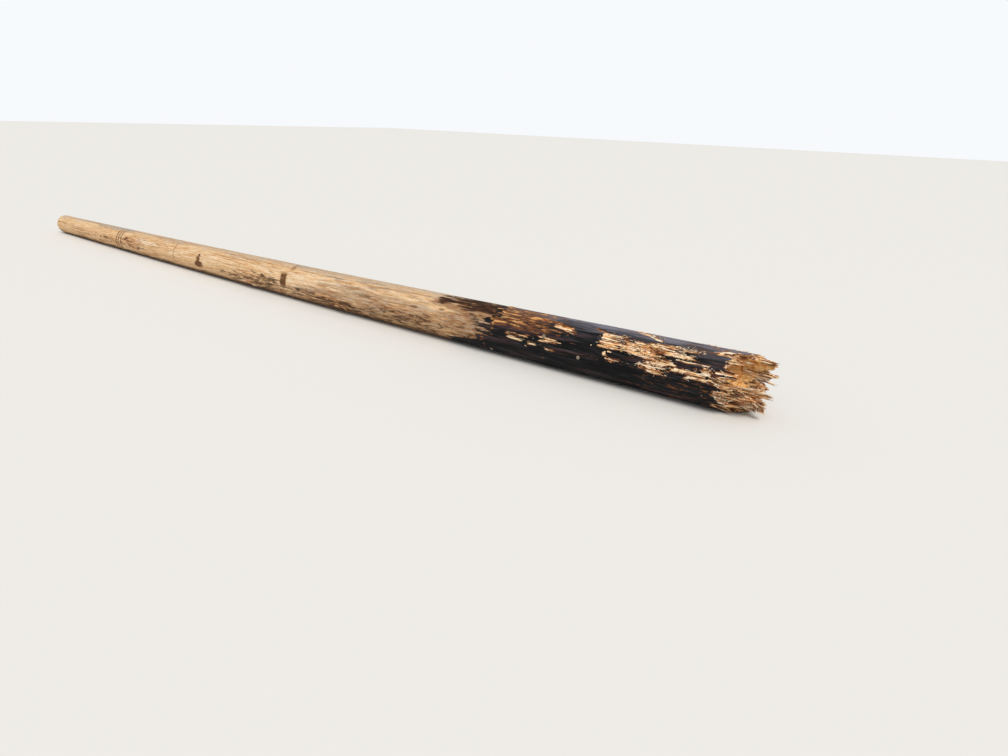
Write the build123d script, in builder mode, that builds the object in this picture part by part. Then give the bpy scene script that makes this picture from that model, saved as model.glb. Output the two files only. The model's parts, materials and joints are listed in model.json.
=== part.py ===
from build123d import *
import math
import os

os.makedirs("parts", exist_ok=True)

# The shaft, measured from the sawn top (0) along the pole towards the broken butt
SHAFT_LENGTH = 8770.0
TOP_DIAMETER = 212.0
BUTT_DIAMETER = 358.0
SWEEP = 68.0
OUT_OF_ROUND = 0.012
STATION_PITCH = 1100.0
FACETS = 36

# The black preservative coat on the part that stood in the ground
COAT_LENGTH = 1690.0
COAT_THICKNESS = 3.0
COAT_SHORT_OF_RIM = 26.0
COAT_TOOTH = 120.0
COAT_EASE = 1500.0

# The break: bundles of fibres that end at their own lengths, longest at the back, round a hollow
TIP_REACH = 200.0
SHELL_MEAN = 30.0
SHELL_SKEW = 85.0
SHELL_BUNDLES = 23
SHELL_DEPTH = 42.0
CORE_BUNDLES = 13
HEART_BUNDLES = 7
BUNDLE_UNEVENNESS = 32.0
BUNDLE_SLANT = 1.6
BUNDLE_OVERLAP = 0.3
HOLLOW_DEPTH = 260.0
HOLLOW_RADIUS = 100.0
HOLLOW_RISE = 46.0
HOLLOW_SETBACK = 22.0

# Seasoning checks that run along the grain, and those that star out from the heart of the sawn top
CHECK_WIDTH = 7.0
CHECK_DEPTH = 34.0
END_CHECK_WIDTH = 5.0
END_CHECK_DEPTH = 40.0

# Three marks where a band was tightened round the shaft
RING_PLACE = 1645.0
RING_PITCH = 59.0
RING_COUNT = 3
RING_WIDTH = 7.0
RING_DEPTH = 3.5

# Bolt hole, screw holes and the plugs that close the old inspection holes
BOLT_HOLE_DIAMETER = 17.5
BOLT_HOLE_PLACE = 3400.0
BOLT_HOLE_ANGLE = 60.0
SCREW_HOLE_DIAMETER = 12.0
SCREW_HOLE_DEPTH = 70.0
PLUG_DIAMETER = 22.0
PLUG_DEPTH = 60.0
PLUG_PROUD = 2.0

# Slivers: how far a root reaches back into the wood that it splits from
ROOT_DEPTH = 45.0

TOP_RADIUS = TOP_DIAMETER / 2
BUTT_RADIUS = BUTT_DIAMETER / 2
OVERALL_LENGTH = SHAFT_LENGTH + TIP_REACH
COAT_START = SHAFT_LENGTH - COAT_LENGTH


def unit_outline():
    """Corners of the trunk's outline at a radius of 1: flat underneath, a little out of round above."""
    step = 2 * math.pi / FACETS
    corners = []
    for i in range(FACETS):
        turn = step * (i + 0.5)
        upper_part = (math.cos(step / 2) - math.cos(turn)) / 2
        wave = math.sin(2 * turn + 0.6) + 0.7 * math.sin(3 * turn - 1.1)
        reach = (1 + OUT_OF_ROUND * upper_part * wave) / math.cos(step / 2)
        corners.append((reach * math.sin(turn), -reach * math.cos(turn)))
    return corners


UNIT_OUTLINE = unit_outline()
FRONT_SHARE = max(-y for y, z in UNIT_OUTLINE)
BACK_SHARE = max(y for y, z in UNIT_OUTLINE)


def radius(s):
    """Radius of the trunk at distance s from the sawn top."""
    return TOP_RADIUS + (BUTT_RADIUS - TOP_RADIUS) * s / SHAFT_LENGTH


def bow(s):
    """How far the swept axis stands out towards the front at distance s."""
    share = s / SHAFT_LENGTH
    return SWEEP * 4 * share * (1 - share)


def lift(s):
    """Height of the wood's underside: the coat fills it where there is one."""
    share = (s - COAT_START + COAT_EASE) / COAT_EASE
    return COAT_THICKNESS * min(max(share, 0.0), 1.0)


SAMPLES = [OVERALL_LENGTH * i / 200 for i in range(201)]
FRONT_REACH = max((radius(s) + lift(s)) * FRONT_SHARE + bow(s) for s in SAMPLES)
BACK_REACH = max((radius(s) + lift(s)) * BACK_SHARE - bow(s) for s in SAMPLES)
AXIS_Y = (FRONT_REACH - BACK_REACH) / 2
START_X = -OVERALL_LENGTH / 2


def axis_point(s):
    """Centre of the trunk at distance s."""
    return Vector(START_X + s, AXIS_Y - bow(s), lift(s) + radius(s))


def radial(angle):
    """Direction out of the axis: 0 is up, 90 the front, 180 down and 270 the back."""
    turn = math.radians(angle)
    return Vector(0, -math.sin(turn), math.cos(turn))


def across(s):
    """Plane square to the length at distance s, with its own y axis pointing up."""
    return Plane(origin=axis_point(s), x_dir=(0, 1, 0), z_dir=(1, 0, 0))


def facing(s, angle, out=0.0):
    """Plane whose normal points out of the trunk, with its own x axis along the length."""
    return Plane(origin=axis_point(s) + radial(angle) * out, x_dir=(1, 0, 0), z_dir=radial(angle))


def stations(start, end):
    """Evenly spaced distances from start to end, about one pitch apart."""
    count = max(2, round((end - start) / STATION_PITCH))
    return [start + (end - start) * i / count for i in range(count + 1)]


def uneven(i, j=0):
    """A number between -1 and 1 that looks random, but is the same each time for the same bundle."""
    return 2 * ((i * 0.618034 + j * 0.754878 + 0.37) % 1) - 1


def polygon(plane, corners):
    """A flat shape with the given corners on the given plane."""
    with BuildSketch(plane) as shape:
        with BuildLine():
            Polyline(*corners, close=True)
        make_face()
    return shape.sketch


def disc(plane, diameter):
    """A round shape on the given plane."""
    with BuildSketch(plane) as shape:
        Circle(diameter / 2)
    return shape.sketch


def trunk_section(s, grow=0.0):
    """The trunk's cross-section at distance s."""
    size = radius(s) + grow
    return polygon(across(s), [(size * y, size * z) for y, z in UNIT_OUTLINE])


def cut_along(shape, length, direction=None):
    """Remove the wood that the shape sweeps through."""
    extrude(shape, amount=length, dir=direction, clean=False, mode=Mode.SUBTRACT)


def keep_largest(builder, label):
    """The piece's main solid, without crumbs that a cut has left, written under its name."""
    with BuildPart() as kept:
        add(builder.solids().sort_by(SortBy.VOLUME)[-1])
    kept.part.label = label
    export_step(kept.part, f"parts/{label}.step")
    return kept.part


BODY_PLACES = stations(0, SHAFT_LENGTH)[:-1]
BUTT_PLACES = [BODY_PLACES[-1], SHAFT_LENGTH, OVERALL_LENGTH]

# Each check: start, end and angle round the trunk
CHECKS = [
    (260, 2150, 12),
    (2500, 4700, -38),
    (3900, 6300, 28),
    (900, 3300, 205),
    (4900, 6900, 262),
]

# Each check in the sawn top: angle and how far out it runs, as a share of the radius
END_CHECKS = [(24, 0.86), (141, 0.62), (252, 0.74), (318, 0.45)]

# Screw holes: distance and angle
SCREW_HOLES = [(2640, -15), (2857, -18)]

# Plugs: name, distance short of the break and angle
PLUGS = [
    ("inspection_plug_low", SHAFT_LENGTH - 1706, 137),
    ("inspection_plug_middle", SHAFT_LENGTH - 1248, 66),
    ("inspection_plug_high", SHAFT_LENGTH - 972, 95),
]


def cut_checks():
    """Long tapering cracks, widest at mid length, cut from the surface towards the heart."""
    for start, end, angle in CHECKS:
        sections = []
        for share, size in ((0.0, 0.12), (0.35, 1.0), (0.7, 0.8), (1.0, 0.12)):
            s = start + (end - start) * share
            half = CHECK_WIDTH * size
            deep = CHECK_DEPTH * size
            edge = axis_point(s) + radial(angle) * radius(s)
            plane = Plane(origin=edge, x_dir=radial(angle), z_dir=(1, 0, 0))
            sections.append(polygon(plane, [(-deep, 0), (deep, half), (deep, -half)]))
        loft(sections, ruled=True, clean=False, mode=Mode.SUBTRACT)


def cut_end_checks():
    """Wedge-shaped cracks that star out from the heart of the sawn top."""
    half = END_CHECK_WIDTH / 2
    for angle, share in END_CHECKS:
        plane = Plane(origin=axis_point(0), x_dir=radial(angle), z_dir=(1, 0, 0))
        start = 0.06 * TOP_RADIUS
        end = share * TOP_RADIUS
        crack = polygon(plane, [(start, 0), (0.7 * end, -half), (end, 0), (0.7 * end, half)])
        cut_along(crack, END_CHECK_DEPTH)


def cut_rings():
    """Narrow grooves round the shaft."""
    for i in range(RING_COUNT):
        s = RING_PLACE + i * RING_PITCH
        band = trunk_section(s, 4 * RING_DEPTH) - trunk_section(s, -RING_DEPTH)
        cut_along(band, RING_WIDTH)


def shell_reach(angle):
    """How far past the shaft's length the outer wood is left: short in front, long at the back."""
    return SHELL_MEAN - SHELL_SKEW * math.sin(math.radians(angle))


def core_reach(angle):
    """The same for the wood inside the shell: long in the lower half, short under the hollow."""
    return SHELL_MEAN - 1.1 * SHELL_SKEW * math.cos(math.radians(angle))


def heart_reach(angle):
    """The same for the wood round the heart."""
    return -SHELL_MEAN - SHELL_SKEW * math.cos(math.radians(angle))


def cut_bundle(s, angle, half_angle, inner, outer, slant_round, slant_out):
    """Break off one bundle of fibres at distance s, with a slanted end."""
    round_way = radial(angle + 90)
    out_way = radial(angle)
    middle = axis_point(s) + out_way * (inner + outer) / 2
    normal = Vector(1, 0, 0) - round_way * slant_round - out_way * slant_out
    plane = Plane(origin=middle, x_dir=Vector(slant_round, 0, 0) + round_way, z_dir=normal)
    widen = 1 / math.cos(math.radians(half_angle))
    corners = []
    for side, reach in ((-1, inner), (-1, outer * widen), (1, outer * widen), (1, inner)):
        place = axis_point(s) + radial(angle + side * half_angle) * reach
        slope = (place - middle).dot(round_way) * slant_round + (place - middle).dot(out_way) * slant_out
        local = plane.to_local_coords(place + Vector(slope, 0, 0))
        corners.append((local.X, local.Y))
    cut_along(polygon(plane, corners), 4 * BUTT_DIAMETER, (1, 0, 0))


def cut_ring_of_bundles(count, reach, inner, outer, ring, shorter=0.0):
    """Break off a ring of bundles, each with its own width, length and slant."""
    edges = [360 * (i + 0.3 * uneven(i, ring)) / count for i in range(count)]
    edges.append(edges[0] + 360)
    for i in range(count):
        angle = (edges[i] + edges[i + 1]) / 2
        half_angle = (edges[i + 1] - edges[i]) / 2 + BUNDLE_OVERLAP
        s = SHAFT_LENGTH + reach(angle) + BUNDLE_UNEVENNESS * uneven(i, ring + 1) - shorter
        way = 1 if i % 2 else -1
        slant_round = way * BUNDLE_SLANT * (0.75 + 0.45 * uneven(i, ring + 2))
        slant_out = 0.5 * uneven(i, ring + 3)
        cut_bundle(s, angle, half_angle, inner, outer, slant_round, slant_out)


def cut_shell(shorter=0.0):
    """Break off the outer bundles, which leaves a crown of teeth."""
    inner = BUTT_RADIUS - SHELL_DEPTH
    cut_ring_of_bundles(SHELL_BUNDLES, shell_reach, inner, 1.15 * BUTT_RADIUS, 0, shorter)


def cut_core():
    """Break off the bundles inside the shell and round the heart."""
    shell = BUTT_RADIUS - SHELL_DEPTH
    heart = 0.42 * BUTT_RADIUS
    pith = 0.14 * BUTT_RADIUS
    cut_ring_of_bundles(CORE_BUNDLES, core_reach, heart, shell, 4)
    cut_ring_of_bundles(HEART_BUNDLES, heart_reach, pith, heart, 8)
    cut_along(disc(across(SHAFT_LENGTH - HOLLOW_DEPTH / 4), 2.4 * pith), 4 * BUTT_DIAMETER)


def cut_hollow():
    """Scooped hollow behind the front rim, in the upper half of the heart."""
    lower = [(-0.95, -0.3), (-0.4, -0.85), (0.45, -0.8), (0.98, -0.25)]
    upper = [(0.95, 0.4), (0.5, 0.9), (-0.35, 0.95), (-0.85, 0.5)]
    sections = []
    for share, size in ((-0.95, 1.05), (-0.4, 1.0), (0.3, 0.8), (0.75, 0.45), (1.0, 0.12)):
        scale = HOLLOW_RADIUS * size
        rise = HOLLOW_RISE * (1 - 0.35 * max(share, 0))
        shape = [(HOLLOW_SETBACK + scale * y, rise + scale * z) for y, z in lower + upper]
        sections.append(polygon(across(SHAFT_LENGTH - HOLLOW_DEPTH * share), shape))
    loft(sections, ruled=True, clean=False, mode=Mode.SUBTRACT)


def cut_bolt_hole():
    """Through hole for a pole bolt."""
    hole = disc(facing(BOLT_HOLE_PLACE, BOLT_HOLE_ANGLE, -BUTT_DIAMETER), BOLT_HOLE_DIAMETER)
    cut_along(hole, 2 * BUTT_DIAMETER)


def cut_screw_holes():
    """Blind holes of two lag screws, now drawn."""
    for s, angle in SCREW_HOLES:
        hole = disc(facing(s, angle, radius(s) - SCREW_HOLE_DEPTH), SCREW_HOLE_DIAMETER)
        cut_along(hole, 2 * SCREW_HOLE_DEPTH)


def cut_plug_holes():
    """Holes that the plugs fill."""
    for name, s, angle in PLUGS:
        hole = disc(facing(s, angle, radius(s) - PLUG_DEPTH), PLUG_DIAMETER)
        cut_along(hole, 2 * PLUG_DEPTH)


# The broken end, from the last station to the longest splinter
with BuildPart() as broken_end:
    loft([trunk_section(s) for s in BUTT_PLACES], ruled=True)
    cut_hollow()
    cut_core()
    cut_shell()
    cut_plug_holes()

# The whole shaft
with BuildPart() as pole_shaft:
    loft([trunk_section(s) for s in BODY_PLACES], ruled=True)
    cut_end_checks()
    cut_checks()
    cut_bolt_hole()
    cut_screw_holes()
    cut_plug_holes()
    cut_rings()
    add(broken_end.part)
keep_largest(pole_shaft, "pole_shaft")

# Torn places in the coat: distance, angle and the corners of the tear along and round the trunk
TEARS = [
    (SHAFT_LENGTH - 1460, 80, [(-85, -12), (-20, -22), (70, -10), (85, 14), (10, 20)]),
    (SHAFT_LENGTH - 1450, 48, [(-190, -16), (40, -26), (185, -8), (120, 20), (-60, 12)]),
    (SHAFT_LENGTH - 1110, 39, [(-70, -14), (30, -24), (66, 4), (10, 22)]),
    (SHAFT_LENGTH - 780, 30, [(-95, -62), (60, -44), (190, -30), (130, 12), (-10, 26), (-100, 70)]),
    (SHAFT_LENGTH - 540, 60, [(-95, -34), (20, -62), (110, -30), (90, 20), (120, 64), (-20, 58)]),
    (SHAFT_LENGTH - 160, 78, [(-180, -10), (-60, -30), (60, -22), (240, -30), (240, 26), (20, 22)]),
]


def cut_tears():
    """Places where the coat has torn away and the wood shows."""
    for s, angle, corners in TEARS:
        tear = polygon(facing(s, angle, 0.5 * radius(s)), corners)
        cut_along(tear, radius(s))


def cut_coat_edge():
    """The coat's upper edge, brushed on in uneven strokes."""
    strokes = 9
    half = math.pi * radius(COAT_START) / strokes
    for i in range(strokes):
        angle = 360 * (i + 0.5) / strokes
        depth = COAT_TOOTH * (1.0 if i % 2 else 0.55)
        corners = [(-depth, -half), (depth, -0.2 * half), (0.7 * depth, 0.4 * half), (-depth, half)]
        gap = polygon(facing(COAT_START, angle, 0.5 * BUTT_RADIUS), corners)
        cut_along(gap, BUTT_RADIUS)


# The coat, seated on the shaft all over: its inner face is the shaft's own outer face
COAT_PLACES = [COAT_START] + [s for s in BODY_PLACES + BUTT_PLACES[1:] if s > COAT_START]
UNDER_COAT = [s for s in BODY_PLACES if s <= COAT_START][-1:] + COAT_PLACES[1:]
with BuildPart() as butt_coat:
    loft([trunk_section(s, COAT_THICKNESS) for s in COAT_PLACES], ruled=True)
    loft([trunk_section(s) for s in UNDER_COAT], ruled=True, clean=False, mode=Mode.SUBTRACT)
    cut_plug_holes()
    cut_shell(COAT_SHORT_OF_RIM)
    cut_tears()
    cut_coat_edge()
keep_largest(butt_coat, "butt_coat")

# The plugs
for name, s, angle in PLUGS:
    with BuildPart() as plug:
        stem = disc(facing(s, angle, radius(s) - PLUG_DEPTH), PLUG_DIAMETER)
        extrude(stem, amount=PLUG_DEPTH + COAT_THICKNESS + PLUG_PROUD)
    keep_largest(plug, name)

# Slivers at the break: name, the ring of bundles that it splits from, angle, how far its root starts
# past that ring's end, depth of its middle below the surface, length, width, thickness, and how far
# the tip leans outwards and sideways in degrees
TIP_START = -20.0
TIP_ANGLE = 262
TIP_LENGTH = TIP_REACH - shell_reach(TIP_ANGLE) - TIP_START
BREAK_SLIVERS = [
    ("sliver_crown_back", shell_reach, 318, -10, 20, 115, 34, 16, -3, 4),
    ("sliver_crown_top", shell_reach, 348, -20, 18, 150, 38, 14, -2, -5),
    ("sliver_crown_front", shell_reach, 22, -20, 16, 130, 30, 12, 2, 6),
    ("sliver_tip_upper", shell_reach, TIP_ANGLE, TIP_START, 22, TIP_LENGTH, 44, 20, 0, 0),
    ("sliver_tip_lower", shell_reach, 236, -20, 26, 112, 36, 18, 2, -6),
    ("sliver_lip_front", shell_reach, 58, -30, 10, 110, 30, 12, 3, -4),
    ("sliver_lip_low", shell_reach, 104, -20, 18, 130, 34, 14, -4, 5),
    ("sliver_foot_front", shell_reach, 140, -20, 22, 150, 40, 16, -5, -6),
    ("sliver_foot_back", shell_reach, 196, -20, 24, 150, 42, 18, -4, 5),
    ("sliver_heart_upper", core_reach, 285, -60, 48, 150, 26, 16, -8, 5),
    ("sliver_heart_lower", heart_reach, 178, -20, 128, 150, 30, 18, -4, -5),
    ("sliver_heart_back", core_reach, 225, -20, 80, 120, 30, 16, -2, 5),
    ("sliver_heart_front", core_reach, 112, -20, 66, 140, 28, 16, -4, 6),
    ("sliver_heart_middle", heart_reach, 120, -20, 130, 180, 26, 16, -3, -5),
]

# Slivers that lift from the side of the shaft: name, distance and angle of the root, length, width,
# thickness, and how far the tip leans outwards and sideways in degrees
SIDE_SLIVERS = [
    ("sliver_side_long", 4110, 120, 300, 18, 8, 2.4, 1.5),
    ("sliver_side_short", 5480, 124, 170, 22, 9, 4.0, -2.0),
]

# A sliver's outlines seen from outside and from its edge, in shares of its length and half its width
SLIVER_PLAN = [(0, -1), (0.5, -0.8), (0.84, -0.5), (1, 0.05), (0.86, 0.05), (0.66, 0.65), (0.3, 1), (0, 0.9)]
SLIVER_EDGE = [(0, -1), (0.6, -0.75), (1, -0.1), (1, 0.15), (0.5, 0.8), (0, 1)]


def scaled(corners, length, breadth):
    """Corners in shares of a length and a breadth, at their real size."""
    return [(length * x, breadth * y) for x, y in corners]


def make_sliver(name, host, s, angle, below, length, width, thickness, outwards, sideways):
    """A sliver of wood that stands out along the grain, seated on its host's own faces."""
    lean_out = radial(angle) * math.tan(math.radians(outwards))
    lean_side = radial(angle + 90) * math.tan(math.radians(sideways))
    along = (Vector(1, 0, 0) + lean_out + lean_side).normalized()
    breadth_way = along.cross(radial(angle)).normalized()
    root = axis_point(s) + radial(angle) * (radius(s) - below) - along * ROOT_DEPTH
    from_outside = Plane(origin=root, x_dir=along, z_dir=breadth_way.cross(along))
    from_edge = Plane(origin=root, x_dir=along, z_dir=breadth_way)
    whole = length + ROOT_DEPTH
    with BuildPart() as sliver:
        plan = polygon(from_outside, scaled(SLIVER_PLAN, whole, width / 2))
        extrude(plan, amount=thickness, both=True)
        edge = polygon(from_edge, scaled(SLIVER_EDGE, whole, thickness / 2))
        extrude(edge, amount=width, both=True, mode=Mode.INTERSECT)
        add(host, clean=False, mode=Mode.SUBTRACT)
    return keep_largest(sliver, name)


for name, reach, angle, past, *shape in BREAK_SLIVERS:
    make_sliver(name, broken_end.part, SHAFT_LENGTH + reach(angle) + past, angle, *shape)

with BuildPart() as bare_trunk:
    loft([trunk_section(s) for s in BODY_PLACES], ruled=True)
for name, s, angle, *shape in SIDE_SLIVERS:
    make_sliver(name, bare_trunk.part, s, angle, 0.0, *shape)
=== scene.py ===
"""Looks of a broken wooden utility pole that lies on the floor.

The pole's own frame holds: +X runs along the pole from the sawn top to the broken butt, -Y is its
front and +Z is up. A place on the trunk is given by its distance s from the sawn top and by its angle
round the trunk: 0 is up, 90 the front, 180 down and 270 the back. All sizes are in metres. An array
of angles is in radians, and a single angle of a named place is in degrees.
"""

import json
import logging
import math
from abc import ABC, abstractmethod
from dataclasses import dataclass, field
from enum import Enum
from math import radians
from typing import Sequence

import bpy
import numpy as np
from bpy.types import Material, Mesh, Node, NodeSocket, NodeTree, Object
from mathutils import Matrix, Vector


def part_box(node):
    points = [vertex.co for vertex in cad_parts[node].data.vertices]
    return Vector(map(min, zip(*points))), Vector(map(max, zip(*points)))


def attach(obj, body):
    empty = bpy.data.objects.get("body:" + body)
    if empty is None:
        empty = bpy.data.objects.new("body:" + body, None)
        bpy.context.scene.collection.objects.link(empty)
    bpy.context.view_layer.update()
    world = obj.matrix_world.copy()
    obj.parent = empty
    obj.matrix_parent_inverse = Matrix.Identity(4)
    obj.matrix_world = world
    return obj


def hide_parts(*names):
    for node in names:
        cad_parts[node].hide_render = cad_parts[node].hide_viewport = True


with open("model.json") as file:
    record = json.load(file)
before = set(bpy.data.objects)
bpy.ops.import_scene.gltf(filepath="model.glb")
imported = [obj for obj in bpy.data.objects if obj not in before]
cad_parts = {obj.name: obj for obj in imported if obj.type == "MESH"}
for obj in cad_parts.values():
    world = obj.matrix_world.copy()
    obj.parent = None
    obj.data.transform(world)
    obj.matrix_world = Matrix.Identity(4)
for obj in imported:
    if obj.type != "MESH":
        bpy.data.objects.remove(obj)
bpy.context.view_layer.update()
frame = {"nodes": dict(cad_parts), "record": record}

LOG = logging.getLogger("pole")
BODY = "root"
Array = np.ndarray
TURN = 2 * math.pi
ALONG = np.array([1.0, 0.0, 0.0])
LOW_BITS = 0x7FFFFFFF
CELL_PRIMES = (73856093, 19349663, 83492791)


def colour(red: int, green: int, blue: int) -> tuple[float, float, float, float]:
    """A colour from the display's values of 0 to 255, as light.

    Args:
        red: Red, as a screen shows it.
        green: Green, as a screen shows it.
        blue: Blue, as a screen shows it.

    Returns:
        The linear colour with full cover.
    """
    def light(value: int) -> float:
        """One channel as light."""
        share = value / 255
        return share / 12.92 if share <= 0.04045 else ((share + 0.055) / 1.055) ** 2.4

    return (light(red), light(green), light(blue), 1.0)


def smooth(value: Array, low: float, high: float) -> Array:
    """A soft step from 0 at low to 1 at high, which may lie the other way round.

    Args:
        value: The values to sort.
        low: Where the step is 0.
        high: Where the step is 1.

    Returns:
        Values from 0 to 1.
    """
    share = np.clip((value - low) / (high - low), 0.0, 1.0)
    return share * share * (3 - 2 * share)


def wrapped(angle: Array) -> Array:
    """Angles between minus half a turn and half a turn."""
    return (angle + math.pi) % TURN - math.pi


def turns(count: int) -> Array:
    """Angles of a ring's vertices, in radians."""
    return np.linspace(0, TURN, count, endpoint=False)


def crosswise(angle: Array, reach: Array) -> tuple[Array, Array]:
    """Two coordinates across the trunk: up, and towards the front."""
    return reach * np.cos(angle), reach * np.sin(angle)


def directions(angle: float) -> tuple[Array, Array]:
    """Unit vectors out of the trunk and round it, at an angle in radians."""
    outward = np.array([0.0, -math.sin(angle), math.cos(angle)])
    return outward, np.array([0.0, -math.cos(angle), -math.sin(angle)])


def grid_round(line: Array, columns: int) -> tuple[Array, Array]:
    """Distance and angle of each vertex of a grid that has a ring at each distance of the line."""
    s, angle = np.meshgrid(line, turns(columns), indexing="ij")
    return s, angle


def grid_faces(rows: int, columns: int) -> Array:
    """Faces of a grid that closes round the trunk.

    Args:
        rows: Rings of vertices.
        columns: Vertices in each ring.

    Returns:
        The four corners of each face, ring by ring.
    """
    row, column = np.meshgrid(np.arange(rows - 1), np.arange(columns), indexing="ij")
    ring, after = row * columns, (column + 1) % columns
    corners = [ring + column, ring + after, ring + columns + after, ring + columns + column]
    return np.stack(corners, axis=-1).reshape(-1, 4)


def off_floor(height: Array) -> Array:
    """Heights that stay just above the floor, in their old order."""
    near, low = 0.006, 0.0006
    under = low + (near - low) * np.exp(np.minimum(height - near, 0) / (near - low))
    return np.where(height < near, under, height)


def kept_in(points: Array) -> Array:
    """Points that stay just above the floor and inside the pole's length, without folding flat."""
    margin, soft = 0.002, 0.03
    last = FORM.start.x + FORM.overall - margin
    past = np.maximum(points[..., 0] - (last - soft), 0)
    kept = points.copy()
    kept[..., 2] = off_floor(points[..., 2])
    kept[..., 0] = points[..., 0] - past + soft * (1 - np.exp(-past / soft))
    return kept


def chorded(ring: Array, step: int) -> Array:
    """Lays a ring's points on the straight lines between each step-th point.

    Args:
        ring: The points, one row for each.
        step: How many points lie between two corners.

    Returns:
        The points' new places.
    """
    corners = ring[::step]
    after = np.roll(corners, -1, axis=0)
    share = (np.arange(step) / step)[None, :, None]
    return (corners[:, None] * (1 - share) + after[:, None] * share).reshape(-1, 3)


def hashed(cells: Sequence[Array], seed: int) -> Array:
    """A number between -1 and 1 for each cell of a lattice, the same on each run.

    Args:
        cells: The cell's whole-number coordinates.
        seed: Picks one of many patterns.

    Returns:
        One value for each cell.
    """
    mixed = np.full(np.shape(cells[0]), (seed * 374761393 + 668265263) & LOW_BITS, np.int64)
    for cell, prime in zip(cells, CELL_PRIMES):
        mixed = (mixed ^ (cell * prime)) & LOW_BITS
        mixed = (mixed * 1103515245 + 12345) & LOW_BITS
        mixed = mixed ^ (mixed >> 13)
    return (mixed & 0xFFFF) / 32767.5 - 1


def lattice_noise(x: Array, y: Array, z: Array, seed: int) -> Array:
    """Smooth noise between -1 and 1, the same on each run.

    Args:
        x: First coordinate, in cells.
        y: Second coordinate, in cells.
        z: Third coordinate, in cells.
        seed: Picks one of many patterns.

    Returns:
        One value for each place.
    """
    x, y, z = np.broadcast_arrays(x, y, z)
    cells = [np.floor(v).astype(np.int64) for v in (x, y, z)]
    parts = [v - c for v, c in zip((x, y, z), cells)]
    parts = [p * p * (3 - 2 * p) for p in parts]
    total = np.zeros(x.shape)
    for corner in range(8):
        bits = [(corner >> k) & 1 for k in range(3)]
        weight = np.ones(x.shape)
        for part, bit in zip(parts, bits):
            weight = weight * (part if bit else 1 - part)
        total += weight * hashed([cell + bit for cell, bit in zip(cells, bits)], seed)
    return total


def layered_noise(x: Array, y: Array, z: Array, seed: int, layers: int = 3) -> Array:
    """Noise with finer and fainter layers on top.

    Args:
        x: First coordinate, in cells of the coarsest layer.
        y: Second coordinate.
        z: Third coordinate.
        seed: Picks one of many patterns.
        layers: How many layers there are.

    Returns:
        Values mostly between -1 and 1.
    """
    total, size, reach = 0.0, 1.0, 0.0
    for layer in range(layers):
        step = 2.0 ** layer
        total = total + size * lattice_noise(x * step, y * step, z * step, seed + 17 * layer)
        reach += size
        size *= 0.5
    return total / reach * 1.4


def bundles(y: Array, z: Array, size: float, seed: int) -> tuple[Array, Array]:
    """Splits a cross-section into uneven bundles of fibres.

    Args:
        y: First coordinate across the trunk.
        z: Second coordinate across the trunk.
        size: About how wide a bundle is.
        seed: Picks one of many patterns.

    Returns:
        Each place's bundle as a number between -1 and 1, and how high the bundle's slanted tip
        stands there, in bundle widths.
    """
    row, column = np.floor(y / size).astype(np.int64), np.floor(z / size).astype(np.int64)
    nearest = np.full(np.shape(y), np.inf)
    value, tip = np.zeros(np.shape(y)), np.zeros(np.shape(y))
    for step_y in (-1, 0, 1):
        for step_z in (-1, 0, 1):
            cell = [row + step_y, column + step_z]
            across = y / size - (cell[0] + 0.5 + 0.45 * hashed(cell, seed))
            up = z / size - (cell[1] + 0.5 + 0.45 * hashed(cell, seed + 1))
            far = np.hypot(across, up)
            closer = far < nearest
            slant = across * hashed(cell, seed + 2) + up * hashed(cell, seed + 3)
            nearest = np.where(closer, far, nearest)
            value = np.where(closer, hashed(cell, seed + 4), value)
            tip = np.where(closer, slant, tip)
    return value, tip


def uneven(i: Array, j: int = 0) -> Array:
    """A number between -1 and 1 for each whole number, as the solids' own bundles have it."""
    return 2 * ((i * 0.618034 + j * 0.754878 + 0.37) % 1) - 1


@dataclass(frozen=True)
class TrunkForm:
    """The bare form of the trunk, which all pieces share.

    It starts at the centre of the sawn top. Its length goes to the middle of the break, and its
    overall length to the longest splinter. It bows towards the front by its sweep, and the wood rises
    over the length of the coat's ease to leave room for the coat.
    """

    start: Vector
    overall: float
    length: float = 8.77
    butt_radius: float = 0.179
    sweep: float = 0.068
    coat_length: float = 1.69
    coat_thickness: float = 0.003
    coat_ease: float = 1.5

    def radius(self, s: Array) -> Array:
        """Radius at distance s."""
        return self.start.z + (self.butt_radius - self.start.z) * s / self.length

    def bow(self, s: Array) -> Array:
        """How far the axis stands out towards the front at distance s."""
        share = s / self.length
        return self.sweep * 4 * share * (1 - share)

    def lift(self, s: Array) -> Array:
        """Height of the wood's underside at distance s."""
        share = (s - self.length + self.coat_length + self.coat_ease) / self.coat_ease
        return self.coat_thickness * np.clip(share, 0.0, 1.0)

    def point(self, s: Array, angle: Array, reach: Array) -> Array:
        """Places in the frame.

        Args:
            s: Distance from the sawn top.
            angle: Angle round the trunk.
            reach: Distance out of the trunk's axis.

        Returns:
            An array with one more axis, of length 3.
        """
        x = self.start.x + s + 0 * angle
        y = self.start.y - self.bow(s) - reach * np.sin(angle)
        z = off_floor(self.lift(s) + self.radius(s) + reach * np.cos(angle))
        return np.stack(np.broadcast_arrays(x, y, z), axis=-1)

    def at(self, s: float, angle: float = 0.0, reach: float = 0.0) -> Array:
        """One place in the frame."""
        return self.point(np.array(s), np.array(angle), np.array(reach)).reshape(3)


def trunk_form() -> TrunkForm:
    """The trunk's form, with its place and reach read from the frame."""
    mount = next(m for m in frame["record"]["mounts"] if m["name"] == "sawn_top")
    low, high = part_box("pole_shaft")
    return TrunkForm(Vector(mount["pos_m"]), high.x - low.x)


FORM = trunk_form()


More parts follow.
